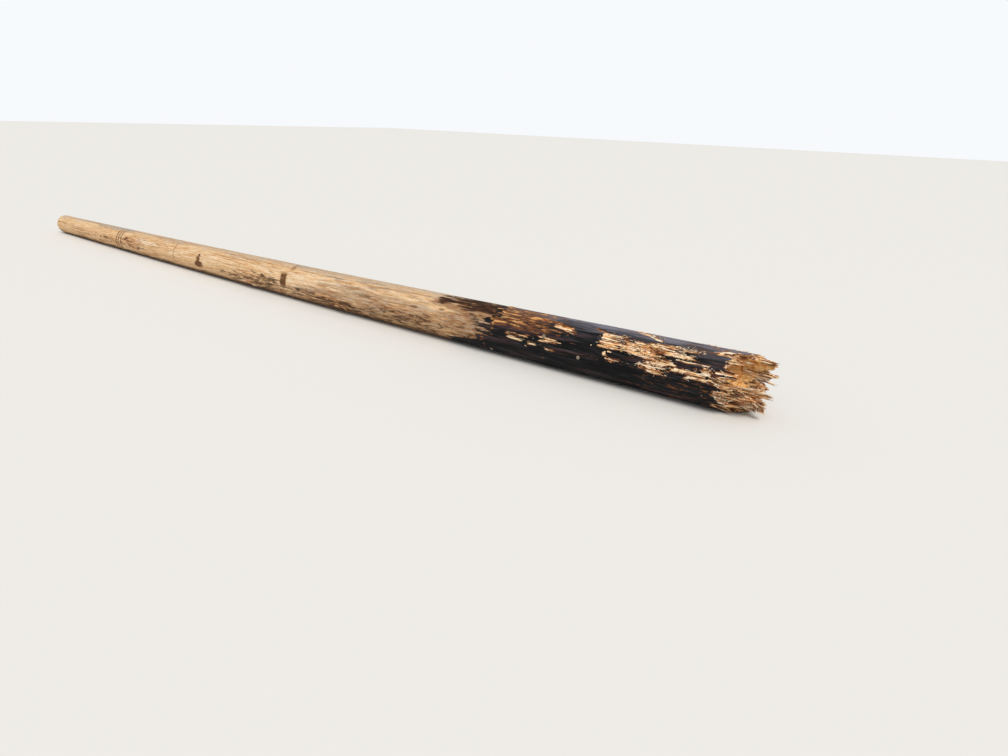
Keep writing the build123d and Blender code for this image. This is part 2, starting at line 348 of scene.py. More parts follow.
class Break:
    """How the butt broke off: bundles of fibres that end at their own lengths, round a hollow.

    The outer bundles follow the rim in the photograph, and the inner ones leave a hollow above and a
    mass of fibres below.
    """

    shell_depth = 0.042
    shell_bundles = 23
    core_bundles = 13
    heart_bundles = 7
    unevenness = 0.032
    slant = 1.6
    heart_share = 0.42
    pith_share = 0.14
    mean = 0.030
    skew = 0.085
    hollow_depth = 0.26
    hollow_radius = 0.10
    hollow_rise = 0.046
    hollow_setback = 0.022
    way_in_angle = 85
    way_in_loss = 0.085
    underside_loss = 0.03
    tip_guard = 0.003

    def reaches(self, angle: Array) -> list[Array]:
        """How far past the middle of the break the shell, the wood inside it and the heart are left."""
        tilt = np.cos(angle)
        return [self.mean - self.skew * np.sin(angle), self.mean - 1.1 * self.skew * tilt,
                -self.mean - self.skew * tilt]

    def _ring(self, angle: Array, reach: Array, count: int, which: int, middle: float) -> Array:
        """Where the bundles of one ring end.

        Args:
            angle: Angle round the trunk.
            reach: Distance out of the axis.
            count: Bundles in the ring.
            which: 0 for the shell, 1 for the wood inside it and 2 for the heart.
            middle: Radius of the ring's middle.

        Returns:
            Distance past the middle of the break.
        """
        ring = 4 * which
        index = np.arange(count)
        edges = np.radians(360 * (index + 0.3 * uneven(index, ring)) / count)
        edges = np.append(edges, edges[0] + TURN)
        turned = (angle - edges[0]) % TURN + edges[0]
        own = np.clip(np.searchsorted(edges, turned, side="right") - 1, 0, count - 1)
        centre = (edges[own] + edges[own + 1]) / 2
        way = np.where(own % 2 == 1, 1, -1)
        slope_round = way * self.slant * (0.75 + 0.45 * uneven(own, ring + 2))
        slope_out = 0.5 * uneven(own, ring + 3)
        along = self.reaches(centre)[which] + self.unevenness * uneven(own, ring + 1)
        return along + slope_round * reach * np.sin(turned - centre) + slope_out * (reach - middle)

    def end(self, angle: Array, reach: Array) -> Array:
        """Distance from the sawn top at which the wood ends.

        Args:
            angle: Angle round the trunk.
            reach: Distance out of the axis.

        Returns:
            Distance from the sawn top.
        """
        big = FORM.butt_radius
        inner = big - self.shell_depth
        heart = self.heart_share * big
        pith = self.pith_share * big
        shell = self._ring(angle, reach, self.shell_bundles, 0, (inner + 1.15 * big) / 2)
        core = self._ring(angle, reach, self.core_bundles, 1, (inner + heart) / 2)
        centre = self._ring(angle, reach, self.heart_bundles, 2, (pith + heart) / 2)
        past = np.where(reach > inner, shell, np.where(reach > heart, core, centre))
        past = np.where(reach > 1.2 * pith, past, np.minimum(past, -self.hollow_depth / 4))
        share = self.hollow_share(angle, reach)
        scooped = np.where(share < 1, -self.hollow_depth * (1 - share ** 2.6), 1.0)
        return FORM.length + np.minimum(past, scooped)

    def hollow_share(self, angle: Array, reach: Array) -> Array:
        """Distance from the middle of the hollow, in shares of its radius."""
        across = -reach * np.sin(angle) - self.hollow_setback
        up = reach * np.cos(angle) - self.hollow_rise
        return np.sqrt(across ** 2 + up ** 2) / self.hollow_radius

    def frayed(self, angle: Array, reach: Array) -> Array:
        """Where the wood ends, with small bundles inside the big ones, but smooth in the hollow."""
        z, y = crosswise(angle, reach)
        share = self.hollow_share(angle, reach)
        rough = 0.1 + 0.9 * smooth(share, 0.9, 1.12)
        big, big_tip = bundles(y, z, 0.021, 301)
        small, small_tip = bundles(y, z, 0.009, 311)
        past = 0.020 * big + 0.028 * big_tip + 0.008 * small + 0.013 * small_tip
        way_in = smooth(share, 1.75, 1.1) * smooth(np.cos(angle - radians(self.way_in_angle)), 0.0, 0.7)
        past = past - self.way_in_loss * way_in * smooth(share, 0.55, 1.0)
        past = past - self.underside_loss * smooth(-np.cos(angle), 0.2, 0.9)
        return np.minimum(self.end(angle, reach) + rough * past, FORM.overall - self.tip_guard)

    def rim(self, angle: Array) -> Array:
        """Distance from the sawn top at which the outer surface ends."""
        return self.frayed(angle, np.full(np.shape(angle), FORM.butt_radius))


BREAK = Break()


@dataclass(frozen=True)
class Spot:
    """A place on the trunk's surface.

    Attributes:
        s: Distance from the sawn top.
        angle: Angle round the trunk, in degrees.
    """

    s: float
    angle: float

    def offsets(self, s: Array, angle: Array) -> tuple[Array, Array]:
        """How far other places lie from this one, along the grain and round the trunk."""
        return s - self.s, FORM.radius(s) * wrapped(angle - radians(self.angle))


@dataclass(frozen=True)
class Knot(Spot):
    """A knot that shows on the trunk: the radius of its eye, and how far it stands out."""

    size: float = 0.018
    proud: float = 0.004


@dataclass(frozen=True)
class Hole(Spot):
    """A round hole drilled from the surface: its radius, and how deep it sinks, with painted shade inside it.
    """

    radius: float
    depth: float


@dataclass(frozen=True)
class Crack:
    """A seasoning check along the grain, from start to end, with its widest gape and greatest depth."""

    start: float
    end: float
    angle: float
    width: float
    depth: float


class Tint(Enum):
    """What a mark does to the wood, which is also the name of the attribute that carries it."""

    STAIN = "stain"
    MOTTLE = "mottle"
    RUST = "rust"
    GREY = "grey"
    TAR = "tar"
    PALE = "pale"


@dataclass(frozen=True)
class Mark(Spot):
    """A patch of another colour, with ragged edges that follow the grain.

    It reaches half its length along the grain and half its width round the trunk. Its strength is that
    of its middle, ragged is how uneven its edge is, and square is whether it has corners.
    """

    tint: Tint
    half_length: float
    half_width: float
    strength: float = 1.0
    ragged: float = 0.5
    square: bool = False

    def cover(self, s: Array, angle: Array, noise: Array) -> Array:
        """How much the mark covers each place.

        Args:
            s: Distance from the sawn top.
            angle: Angle round the trunk.
            noise: Uneven values between -1 and 1 at the same places.

        Returns:
            Values from 0 to the mark's strength.
        """
        along, across = self.offsets(s, angle)
        along, across = np.abs(along) / self.half_length, np.abs(across) / self.half_width
        far = np.maximum(along, across) if self.square else np.hypot(along, across)
        return self.strength * smooth(far + self.ragged * noise, 1.25, 0.7)


KNOTS = [Knot(*sizes) for sizes in (
    (1.371, 84, 0.011), (1.9, 64, 0.010), (2.55, 140), (3.1, 300), (3.3, 20, 0.014),
    (4.1, 250, 0.02), (4.45, 78, 0.012), (5.05, 75, 0.013), (5.62, 40, 0.014),
    (6.352, 65, 0.017), (6.337, 90, 0.013), (6.612, 56, 0.018), (6.70, 70, 0.015),
    (0.9, 160), (1.1, 290), (5.3, 190, 0.02), (6.0, 330, 0.016), (0.9, 97, 0.009),
)]

BOLT_RADIUS, BOLT_DEPTH, SCREW_RADIUS, SCREW_DEPTH = 0.00875, 0.07, 0.006, 0.06
HOLES = [
    *[Hole(3.400, angle, BOLT_RADIUS, BOLT_DEPTH) for angle in (60.0, 240.0)],
    *[Hole(s, angle, SCREW_RADIUS, SCREW_DEPTH) for s, angle in ((2.640, -15.0), (2.857, -18.0))],
]

UPPER_SEAM, MIDDLE_SEAM, BUTT_SEAM, SEAM_CORNERS = 3.05, 6.1, 8.04, 120
COAT_START, COAT_SEAM, COAT_END = 6.94, 7.95, 8.93
FRESH_START, COAT_FIRST = 6.97, 6.99
RING_START, RING_PITCH, RING_COUNT, RING_SWAY, RING_DEPTH = 1.6485, 0.059, 3, 0.008, 0.0028
LINE_PLACE, LINE_SWAY, LINE_DEPTH = 2.922, 0.004, 0.0016
BAND_FACING = 76

MAIN_CRACKS = [
    Crack(0.26, 2.15, 12, 0.007, 0.022),
    Crack(2.5, 4.7, -38, 0.008, 0.026),
    Crack(3.9, 6.3, 28, 0.006, 0.02),
    Crack(0.9, 3.3, 205, 0.008, 0.026),
    Crack(4.9, 6.9, 262, 0.008, 0.026),
]

MARK_SIZES = {
    Tint.STAIN: [
        (1.371, 84, 0.05, 0.012, 0.8), (1.905, 64, 0.04, 0.008, 0.8), (2.64, -14, 0.05, 0.018),
        (2.86, -16, 0.06, 0.022), (3.615, -10, 0.04, 0.014, 0.9), (3.4, 61, 0.018, 0.018, 1.0, 0.3),
        (3.385, 80, 0.03, 0.036, 1.1, 0.6), (3.39, 98, 0.055, 0.036, 1.0, 0.8),
        (4.767, 76, 0.043, 0.06, 1.15, 0.12, True), (4.825, 25, 0.02, 0.05, 0.6, 0.4),
        (6.1, 98, 1.0, 0.17, 0.4, 0.8), (6.337, 90, 0.03, 0.012, 0.9), (6.352, 66, 0.03, 0.014, 0.7),
        (6.615, 57, 0.04, 0.014, 0.7), (6.76, 24, 0.19, 0.03, 1.0, 0.7), (6.92, 14, 0.3, 0.06, 1.1, 0.8),
        (6.95, 60, 0.35, 0.3, 0.5, 0.6),
    ],
    Tint.MOTTLE: [
        (1.0, 100, 0.6, 0.05, 0.6, 0.8), (1.95, 88, 0.35, 0.05, 0.8, 0.7), (4.1, 104, 0.36, 0.05, 1.0, 0.7),
        (4.45, 104, 0.3, 0.085, 1.2, 0.6), (4.95, 120, 0.35, 0.05, 0.9, 0.7),
        (5.12, 102, 0.22, 0.025, 1.0, 0.6), (5.42, 114, 0.3, 0.05, 1.3, 0.6),
        (5.85, 128, 0.4, 0.06, 1.1, 0.6), (6.35, 112, 0.45, 0.08, 1.0, 0.7), (6.9, 10, 0.32, 0.08, 1.4, 0.8),
    ],
    Tint.RUST: [
        (1.95, 80, 0.3, 0.06, 1.0, 0.7), (4.35, 96, 0.36, 0.07, 0.9, 0.7), (4.72, 123, 0.09, 0.03, 1.2, 0.4),
        (5.42, 108, 0.32, 0.07, 0.9, 0.6), (6.3, 95, 0.5, 0.08, 0.8, 0.8), (6.85, 30, 0.35, 0.07, 1.1, 0.6),
    ],
    Tint.GREY: [(1.45, 6, 0.55, 0.05, 1.2), (4.9, 9, 0.09, 0.03, 1.2)],
    Tint.PALE: [
        (2.3, 62, 0.22, 0.03, 1.2, 0.7), (3.3, 66, 0.8, 0.06, 0.6, 0.8), (5.5, 62, 1.1, 0.085, 0.9, 0.8),
        (6.9, 75, 0.25, 0.07, 0.9, 0.8),
    ],
}
MARKS = [Mark(s, angle, tint, *sizes) for tint, rows in MARK_SIZES.items() for s, angle, *sizes in rows]

COAT_EDGE = [(0, 7.12), (30, 7.10), (60, 7.08), (90, 7.06), (112, 6.99), (125, 6.80), (150, 6.66),
             (180, 6.68), (230, 6.90), (290, 7.08), (360, 7.12)]


def coat_edge(angle: Array) -> Array:
    """Distance from the sawn top at which the black begins."""
    return np.interp(np.degrees(angle) % 360, *zip(*COAT_EDGE))


@dataclass(frozen=True)
class Tear:
    """A place where strips of the coat have torn away along the grain.

    Attributes:
        start: Where it begins.
        end: Where it ends.
        low: Its first angle, in degrees.
        high: Its last angle, in degrees.
        strips: How many strips lie side by side.
        ragged: How unevenly the strips begin and end.
        slant: How far round it drifts for each metre along, in degrees.
        chips: How thickly chips of wood stand in it.
        hue: Below 0 for browner wood and above 0 for paler wood.
        sharp: Whether all strips begin together.
    """

    start: float
    end: float
    low: float
    high: float
    strips: int = 3
    ragged: float = 0.02
    slant: float = 0.0
    chips: float = 0.5
    hue: float = 0.0
    sharp: bool = False

    def gap(self, s: Array, angle: Array) -> Array:
        """Below 0 where the coat is gone, about in the size of the ragged edge."""
        rng = np.random.default_rng(int(1000 * self.start + self.low + 360))
        width = radians(self.high - self.low) / self.strips
        middle_s = (self.start + self.end) / 2
        found = np.full(np.shape(s), 9.0)
        for i in range(self.strips):
            middle = radians(self.low) + (i + 0.5) * width + np.radians(self.slant) * (s - middle_s)
            first = self.start + rng.uniform(-1, 1) * self.ragged * (0.15 if self.sharp else 1)
            last = max(self.end + rng.uniform(-1, 1) * self.ragged, first + 0.02)
            share = np.clip((s - first) / (last - first), 0, 1)
            half = 0.58 * width * (1 - 0.55 * share ** 3) * FORM.radius(s)
            along = (np.abs(s - (first + last) / 2) - (last - first) / 2) / 0.014
            across = (np.abs(wrapped(angle - middle)) * FORM.radius(s) - half) / 0.005
            found = np.minimum(found, np.maximum(along, across))
        return found


TEARS = [Tear(*sizes) for sizes in (
    (7.12, 7.34, 38, 47, 3, 0.05, 30, 0.0, -0.5), (7.38, 7.52, 22, 28, 2, 0.04, 60, 0.0, -0.5),
    (7.56, 7.75, 30, 44, 3, 0.03, 60, 0.3, -0.2), (7.22, 7.40, 73, 88, 4, 0.02, 20, 0.3, -0.25),
    (7.41, 7.50, 84, 91, 2, 0.02, 0, 0.2, -0.25), (7.51, 7.65, 68, 79, 3, 0.03, 0, 0.2, -0.3),
    (7.55, 7.62, 92, 96, 1, 0.01, 0, 0.1, -0.3), (7.85, 7.93, 18, 26, 2, 0.02, 0, 0.1, -0.2),
    (7.92, 8.12, 26, 61, 8, 0.05, 0, 0.3, 0.05, True), (8.08, 8.30, -8, 8, 3, 0.05, 130, 0.2, 0.15),
    (8.10, 8.33, 34, 64, 7, 0.04, 20, 1.6, 0.15), (8.26, 8.43, 24, 50, 5, 0.03, 0, 0.4, -0.25),
    (8.40, 8.54, 40, 50, 2, 0.02, 0, 1.4, 0.35), (8.43, 8.54, 26, 32, 2, 0.02, 0, 1.4, 0.35),
    (7.985, 8.05, 66, 69, 1, 0.005, -10, 0.1, 0.1), (7.97, 7.985, 67, 78, 2, 0.004, 0, 0.1, 0.1),
    (8.0, 8.09, 79, 87, 3, 0.015, 0, 0.4, -0.3), (8.24, 8.36, 68, 90, 6, 0.035, 0, 1.5, 0.1),
    (8.34, 8.43, 60, 69, 2, 0.02, 0, 0.8, 0.2), (8.43, 8.64, 52.5, 55.5, 1, 0.01, 0, 0.1, -0.1),
    (8.44, 8.63, 70, 77, 2, 0.02, 0, 0.4, 0.2), (8.51, 8.68, 79, 85, 2, 0.02, 0, 0.5, 0.1),
    (8.60, 8.65, 58, 72, 3, 0.015, 0, 1.5, 0.25), (8.69, 8.84, 58, 64, 2, 0.01, 0, 0.5, 0.2),
    (8.65, 8.84, 73, 82, 3, 0.015, 0, 0.5, 0.25), (8.66, 8.80, 8, 24, 4, 0.04, 0, 0.4, 0.1),
    (8.72, 8.93, 20, 36, 3, 0.03, 0, 0.4, -0.1), (8.68, 8.8, 96, 112, 3, 0.02, 0, 0.8, 0.0),
    (7.75, 8.1, 300, 316, 4, 0.06, 10, 0.3, 0.0), (8.2, 8.48, 240, 262, 5, 0.06, -10, 0.6, 0.0),
    (7.4, 7.6, 210, 220, 3, 0.05, 10, 0.2, -0.2), (7.95, 8.2, 168, 178, 3, 0.05, 0, 0.2, -0.1),
    (8.5, 8.75, 322, 345, 5, 0.05, 0, 0.6, 0.1), (8.62, 8.85, 190, 205, 3, 0.05, 0, 0.6, 0.0),
)]


@dataclass
class Surface:
    """The trunk's outer surface: its relief, its grain and its marks, at any place."""

    knots: Sequence[Knot] = field(default_factory=lambda: KNOTS)

    def _round(self, s: Array, angle: Array, along: float, across: float, seed: int,
               layers: int = 2) -> Array:
        """Noise that is stretched along the grain and closes round the trunk."""
        return layered_noise(s * along, *crosswise(angle, FORM.radius(s) * across), seed, layers)

    def coat_share(self, s: Array) -> Array:
        """0 on the bare trunk and 1 under the coat."""
        start = FORM.length - FORM.coat_length
        return smooth(s, start - 0.1, start + 0.15)

    def band_mark(self, s: Array, angle: Array, place: Array, width: float) -> Array:
        """1 in the middle of a mark that runs round the front, fading out of it."""
        strong = 0.12 + 0.88 * smooth(np.abs(wrapped(angle - radians(BAND_FACING))), 1.2, 0.65)
        return strong * np.exp(-(((s - place) / width) ** 2))

    def band_places(self, angle: Array) -> list[Array]:
        """Where the three band marks run."""
        sways = [RING_SWAY * np.sin(2 * angle + 1.1 * i) for i in range(RING_COUNT)]
        return [RING_START + i * RING_PITCH + sway for i, sway in enumerate(sways)]

    def band_line(self, angle: Array) -> Array:
        """Where the faint line past the band marks runs."""
        return LINE_PLACE + LINE_SWAY * np.sin(3 * angle)

    def relief(self, s: Array, angle: Array) -> Array:
        """How far the surface stands out of the bare form.

        Args:
            s: Distance from the sawn top.
            angle: Angle round the trunk.

        Returns:
            Distance outwards.
        """
        radius = FORM.radius(s)
        above = (1 + np.cos(angle)) / 2
        wave = np.sin(2 * angle + 0.6) - 0.7 * np.sin(3 * angle - 1.1)
        out = 0.002 * radius + 0.012 * radius * above * wave
        out = out + 0.0024 * self._round(s, angle, 1.3, 14, 3) * (0.25 + 0.75 * above)
        ridges = self._round(s, angle, 2.4, 62, 11, 3)
        out = out + 0.0012 * ridges - 0.0018 * smooth(ridges, -0.25, -0.8)
        out = out - 0.0014 * self.coat_share(s) * (1 + self._round(s, angle, 9.0, 90, 29, 2))
        for knot in self.knots:
            along, across = knot.offsets(s, angle)
            far = (along / (1.5 * knot.size)) ** 2 + (across / knot.size) ** 2
            out = out + knot.proud * (np.exp(-0.45 * far) - 0.8 * np.exp(-4.0 * far))
        for place in self.band_places(angle):
            out = out - RING_DEPTH * self.band_mark(s, angle, place, 0.0035)
        return out - LINE_DEPTH * self.band_mark(s, angle, self.band_line(angle), 0.003)

    def grain(self, s: Array, angle: Array) -> Array:
        """Where each place lies in the grain, which flows round the knots.

        Args:
            s: Distance from the sawn top.
            angle: Angle round the trunk.

        Returns:
            Three coordinates for each place: along the grain and two across it.
        """
        radius = FORM.radius(s)
        swirl = 1 + 2.2 * np.exp(-(((s - 6.85) / 0.3) ** 2))
        flow = angle + 0.03 * s + 0.05 * self._round(s, angle, 0.8, 5, 41, 2)
        flow = flow + 0.022 * swirl * self._round(s, angle, 5.0, 20, 43, 2)
        for knot in self.knots:
            along, across = knot.offsets(s, angle)
            across = across / (1.6 * knot.size)
            far = (along / (3.2 * knot.size)) ** 2 + across ** 2
            flow = flow - across * 1.6 * knot.size / radius * np.exp(-0.9 * far) * 0.8
        return np.stack([s, *crosswise(flow, radius)], axis=-1)

    def tints(self, s: Array, angle: Array) -> dict[str, Array]:
        """How much of each tint lies at each place.

        Args:
            s: Distance from the sawn top.
            angle: Angle round the trunk.

        Returns:
            Values from 0 to 1, by the tint's name.
        """
        ragged = self._round(s, angle, 7.0, 60, 71, 3)
        found = {tint.value: np.zeros(s.shape) for tint in Tint}

        def deepen(name: str, value: Array) -> None:
            """Makes a tint at least as strong as the value."""
            found[name] = np.maximum(found[name], value)

        for mark in MARKS:
            deepen(mark.tint.value, mark.cover(s, angle, ragged))
        facing_up = np.abs(wrapped(angle + 0.12))
        deepen("grey", 0.7 * smooth(facing_up + 0.35 * ragged, 0.85, 0.25))
        # Darker and more mottled towards the underside.
        below = smooth(np.abs(wrapped(angle - math.pi)) + 0.2 * ragged, 1.15, 0.7)
        deepen("stain", 0.85 * below)
        deepen("mottle", 0.75 * smooth(below, 0.0, 0.8))
        edge = coat_edge(angle)
        deepen("tar", smooth(s + 0.09 * ragged, edge - 0.12, edge + 0.03))
        deepen("rust", 0.8 * smooth(s + 0.25 * ragged, edge - 0.55, edge - 0.1))
        deepen("mottle", 0.9 * smooth(s + 0.2 * ragged, edge - 0.4, edge - 0.05))
        for place in self.band_places(angle):
            deepen("stain", 1.1 * self.band_mark(s, angle, place, 0.0095))
        deepen("stain", 0.8 * self.band_mark(s, angle, self.band_line(angle), 0.005))
        torn_from = np.maximum(edge, FRESH_START)
        found["fresh"] = smooth(s, torn_from, torn_from + 0.1)
        found["tar"] = found["tar"] * (1 - found["fresh"])
        found["hue"], found["chips"] = np.zeros(s.shape), np.zeros(s.shape)
        for tear in TEARS:
            inside = smooth(tear.gap(s, angle), 3.0, 0.0)
            found["hue"] = np.where(inside > 0.05, tear.hue, found["hue"])
            deepen("chips", inside * tear.chips)
        return found


SURFACE = Surface()


class MeshDraft:
    """Gathers vertices, faces and attributes, and turns them into one object."""

    def __init__(self, name: str) -> None:
        """Starts an empty mesh with the object's name."""
        self.name = name
        self.points: list[Array] = []
        self.faces: list[Array] = []
        self.slots: list[Array] = []
        self.soft: list[Array] = []
        self.values: list[dict[str, Array]] = []
        self.count = 0

    def add_points(self, points: Array, values: dict[str, Array]) -> int:
        """Adds vertices.

        Args:
            points: Their places.
            values: An attribute's values for each vertex, by its name.

        Returns:
            The first new vertex's number.
        """
        first = self.count
        flat = points.reshape(-1, 3)
        self.points.append(flat)
        self.values.append({k: v.reshape(len(flat), -1) for k, v in values.items()})
        self.count += len(flat)
        return first

    def add_faces(self, faces: Array, slot: int = 0, soft: bool = True) -> None:
        """Adds faces that all have as many corners.

        Args:
            faces: The vertices' numbers, one row for each face.
            slot: The faces' material slot.
            soft: Whether they shade smoothly.
        """
        self.faces.append(faces)
        self.slots.append(np.full(len(faces), slot))
        self.soft.append(np.full(len(faces), soft))

    def add_grid(self, first: int, rows: int, columns: int, slot: int = 0, inward: bool = False) -> None:
        """Adds the faces of a grid that closes round the trunk.

        Args:
            first: The grid's first vertex.
            rows: Rings of vertices.
            columns: Vertices in each ring.
            slot: The faces' material slot.
            inward: Whether the faces look the other way.
        """
        quads = first + grid_faces(rows, columns)
        self.add_faces(quads[:, ::-1] if inward else quads, slot)

    def add_band(self, first: int, second: int, columns: int, slot: int, inward: bool = False) -> None:
        """Joins two rings of vertices that lie apart in the mesh.

        Args:
            first: The outer ring's first vertex.
            second: The inner ring's first vertex.
            columns: Vertices in each ring.
            slot: The faces' material slot.
            inward: Whether the faces look the other way.
        """
        column = np.arange(columns)
        after = (column + 1) % columns
        band = np.stack([first + column, first + after, second + after, second + column], axis=-1)
        self.add_faces(band[:, [0, 3, 2, 1]] if inward else band, slot)

    def add_cap(self, first: int, columns: int, centre: int, slot: int = 0, inward: bool = False,
                soft: bool = False) -> None:
        """Closes a ring of vertices with triangles to a centre."""
        column = np.arange(columns)
        fan = np.stack([first + column, np.full(columns, centre), first + (column + 1) % columns], axis=-1)
        self.add_faces(fan[:, ::-1] if inward else fan, slot, soft)

    def add_middle(self, s: float) -> int:
        """Adds a vertex on the trunk's axis, in full painted shade, and returns its number."""
        return self.add_points(FORM.at(s), {"cavity": np.ones(1)})

    def add_lid(self, first: int, columns: int, s: float, slot: int = 0, inward: bool = False) -> None:
        """Closes a ring on vertices of their own, so that the shading of its walls stays even; the lid is in
        full painted shade.

        Args:
            first: The ring's first vertex.
            columns: Vertices in the ring.
            s: Where the lid meets the trunk's axis.
            slot: The faces' material slot.
            inward: Whether the lid looks the other way.
        """
        centre = self.add_middle(s)
        own = np.concatenate(self.points)[first:first + columns]
        self.add_cap(self.add_points(own, {"cavity": np.ones(columns)}), columns, centre, slot, inward)

    def add_tube(self, rings: Array, marks: dict[str, float]) -> None:
        """Adds a closed tube through rings of points, with its faces outwards.

        Args:
            rings: Points, by ring and by place in the ring.
            marks: One value of each attribute for the whole tube.
        """
        rows, columns = rings.shape[:2]
        count = rows * columns
        ends = np.stack([rings[0].mean(axis=0), rings[-1].mean(axis=0)])
        points = np.concatenate([rings.reshape(-1, 3), ends])
        a, b, c, d = [points[corner] - points.mean(axis=0) for corner in grid_faces(rows, columns).T]
        inward = not np.sum(a * np.cross(b, c)) + np.sum(a * np.cross(c, d)) > 0
        values = {name: np.full(len(points), value) for name, value in marks.items()}
        first = self.add_points(points, {**values, "grain": points})
        self.add_grid(first, rows, columns, inward=inward)
        self.add_cap(first, columns, first + count, inward=inward)
        self.add_cap(first + count - columns, columns, first + count + 1, inward=not inward)

    def build(self, materials: Sequence[Material]) -> Object:
        """Makes the object.

        Args:
            materials: The material of each slot.

        Returns:
            The new object, in the scene.
        """
        mesh = bpy.data.meshes.new(self.name)
        points = np.concatenate(self.points)
        loops = np.concatenate([f.reshape(-1) for f in self.faces])
        totals = np.concatenate([np.full(len(f), f.shape[1]) for f in self.faces])
        mesh.vertices.add(len(points))
        mesh.vertices.foreach_set("co", points.astype(np.float32).reshape(-1))
        mesh.loops.add(len(loops))
        mesh.loops.foreach_set("vertex_index", loops.astype(np.int32))
        mesh.polygons.add(len(totals))
        starts = np.concatenate([[0], np.cumsum(totals)[:-1]])
        mesh.polygons.foreach_set("loop_start", starts.astype(np.int32))
        mesh.polygons.foreach_set("material_index", np.concatenate(self.slots).astype(np.int32))
        mesh.update(calc_edges=True)
        mesh.polygons.foreach_set("use_smooth", np.concatenate(self.soft))
        for name in sorted({k for values in self.values for k in values}):
            width = max(v[name].shape[1] for v in self.values if name in v)
            parts = [v.get(name, np.zeros((len(p), width))) for v, p in zip(self.values, self.points)]
            kind = "FLOAT_VECTOR" if width == 3 else "FLOAT"
            held = mesh.attributes.new(name, kind, "POINT")
            flat = np.concatenate(parts).astype(np.float32).reshape(-1)
            held.data.foreach_set("vector" if width == 3 else "value", flat)
        mesh.validate()
        made = bpy.data.objects.new(self.name, mesh)
        bpy.context.scene.collection.objects.link(made)
        for material in materials:
            mesh.materials.append(material)
        return made


def settle(piece: Object, nodes: Sequence[str] = ()) -> Object:
    """Ties a piece to the pole's body and hides the solids that it stands for.

    Args:
        piece: The finished object.
        nodes: The solids that it replaces.

    Returns:
        The piece.
    """
    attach(piece, BODY)
    if nodes:
        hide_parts(*nodes)
    piece.data.calc_loop_triangles()
    LOG.info("%s: %d triangles", piece.name, len(piece.data.loop_triangles))
    return piece


class Graph:
    """A node tree that is written with short calls."""

    def __init__(self, tree: NodeTree) -> None:
        """Takes the tree to write in."""
        self.tree = tree

    def node(self, kind: str, inputs: dict | None = None, **settings: object) -> Node:
        """Adds a node.

        Args:
            kind: The node's type.
            inputs: What goes into its sockets, by name or number: a value or another socket.
            **settings: The node's own settings.

        Returns:
            The new node.
        """
        made = self.tree.nodes.new(kind)
        for name, value in settings.items():
            setattr(made, name, value)
        for key, value in (inputs or {}).items():
            self.feed(made.inputs[key], value)
        return made

    def feed(self, socket: NodeSocket, value: object) -> None:
        """Links a socket to another, or sets its value."""
        if isinstance(value, NodeSocket):
            self.tree.links.new(value, socket)
        else:
            socket.default_value = value

    def math(self, operation: str, first: object, second: object = 0.0, third: object = 0.0) -> NodeSocket:
        """The result of a sum on numbers."""
        inputs = {0: first, 1: second, 2: third}
        return self.node("ShaderNodeMath", inputs, operation=operation).outputs[0]

    def blend(self, *terms: tuple[object, float]) -> NodeSocket:
        """The sum of values, each times its own weight."""
        total = 0.0
        for value, weight in terms:
            total = self.math("MULTIPLY_ADD", value, weight, total)
        return total

    def vector(self, operation: str, first: object, second: object) -> NodeSocket:
        """The result of a sum on vectors."""
        return self.node("ShaderNodeVectorMath", {0: first, 1: second}, operation=operation).outputs[0]

    def scaled(self, vector: object, scale: object) -> NodeSocket:
        """A vector times a number."""
        inputs = {0: vector, "Scale": scale}
        return self.node("ShaderNodeVectorMath", inputs, operation="SCALE").outputs[0]


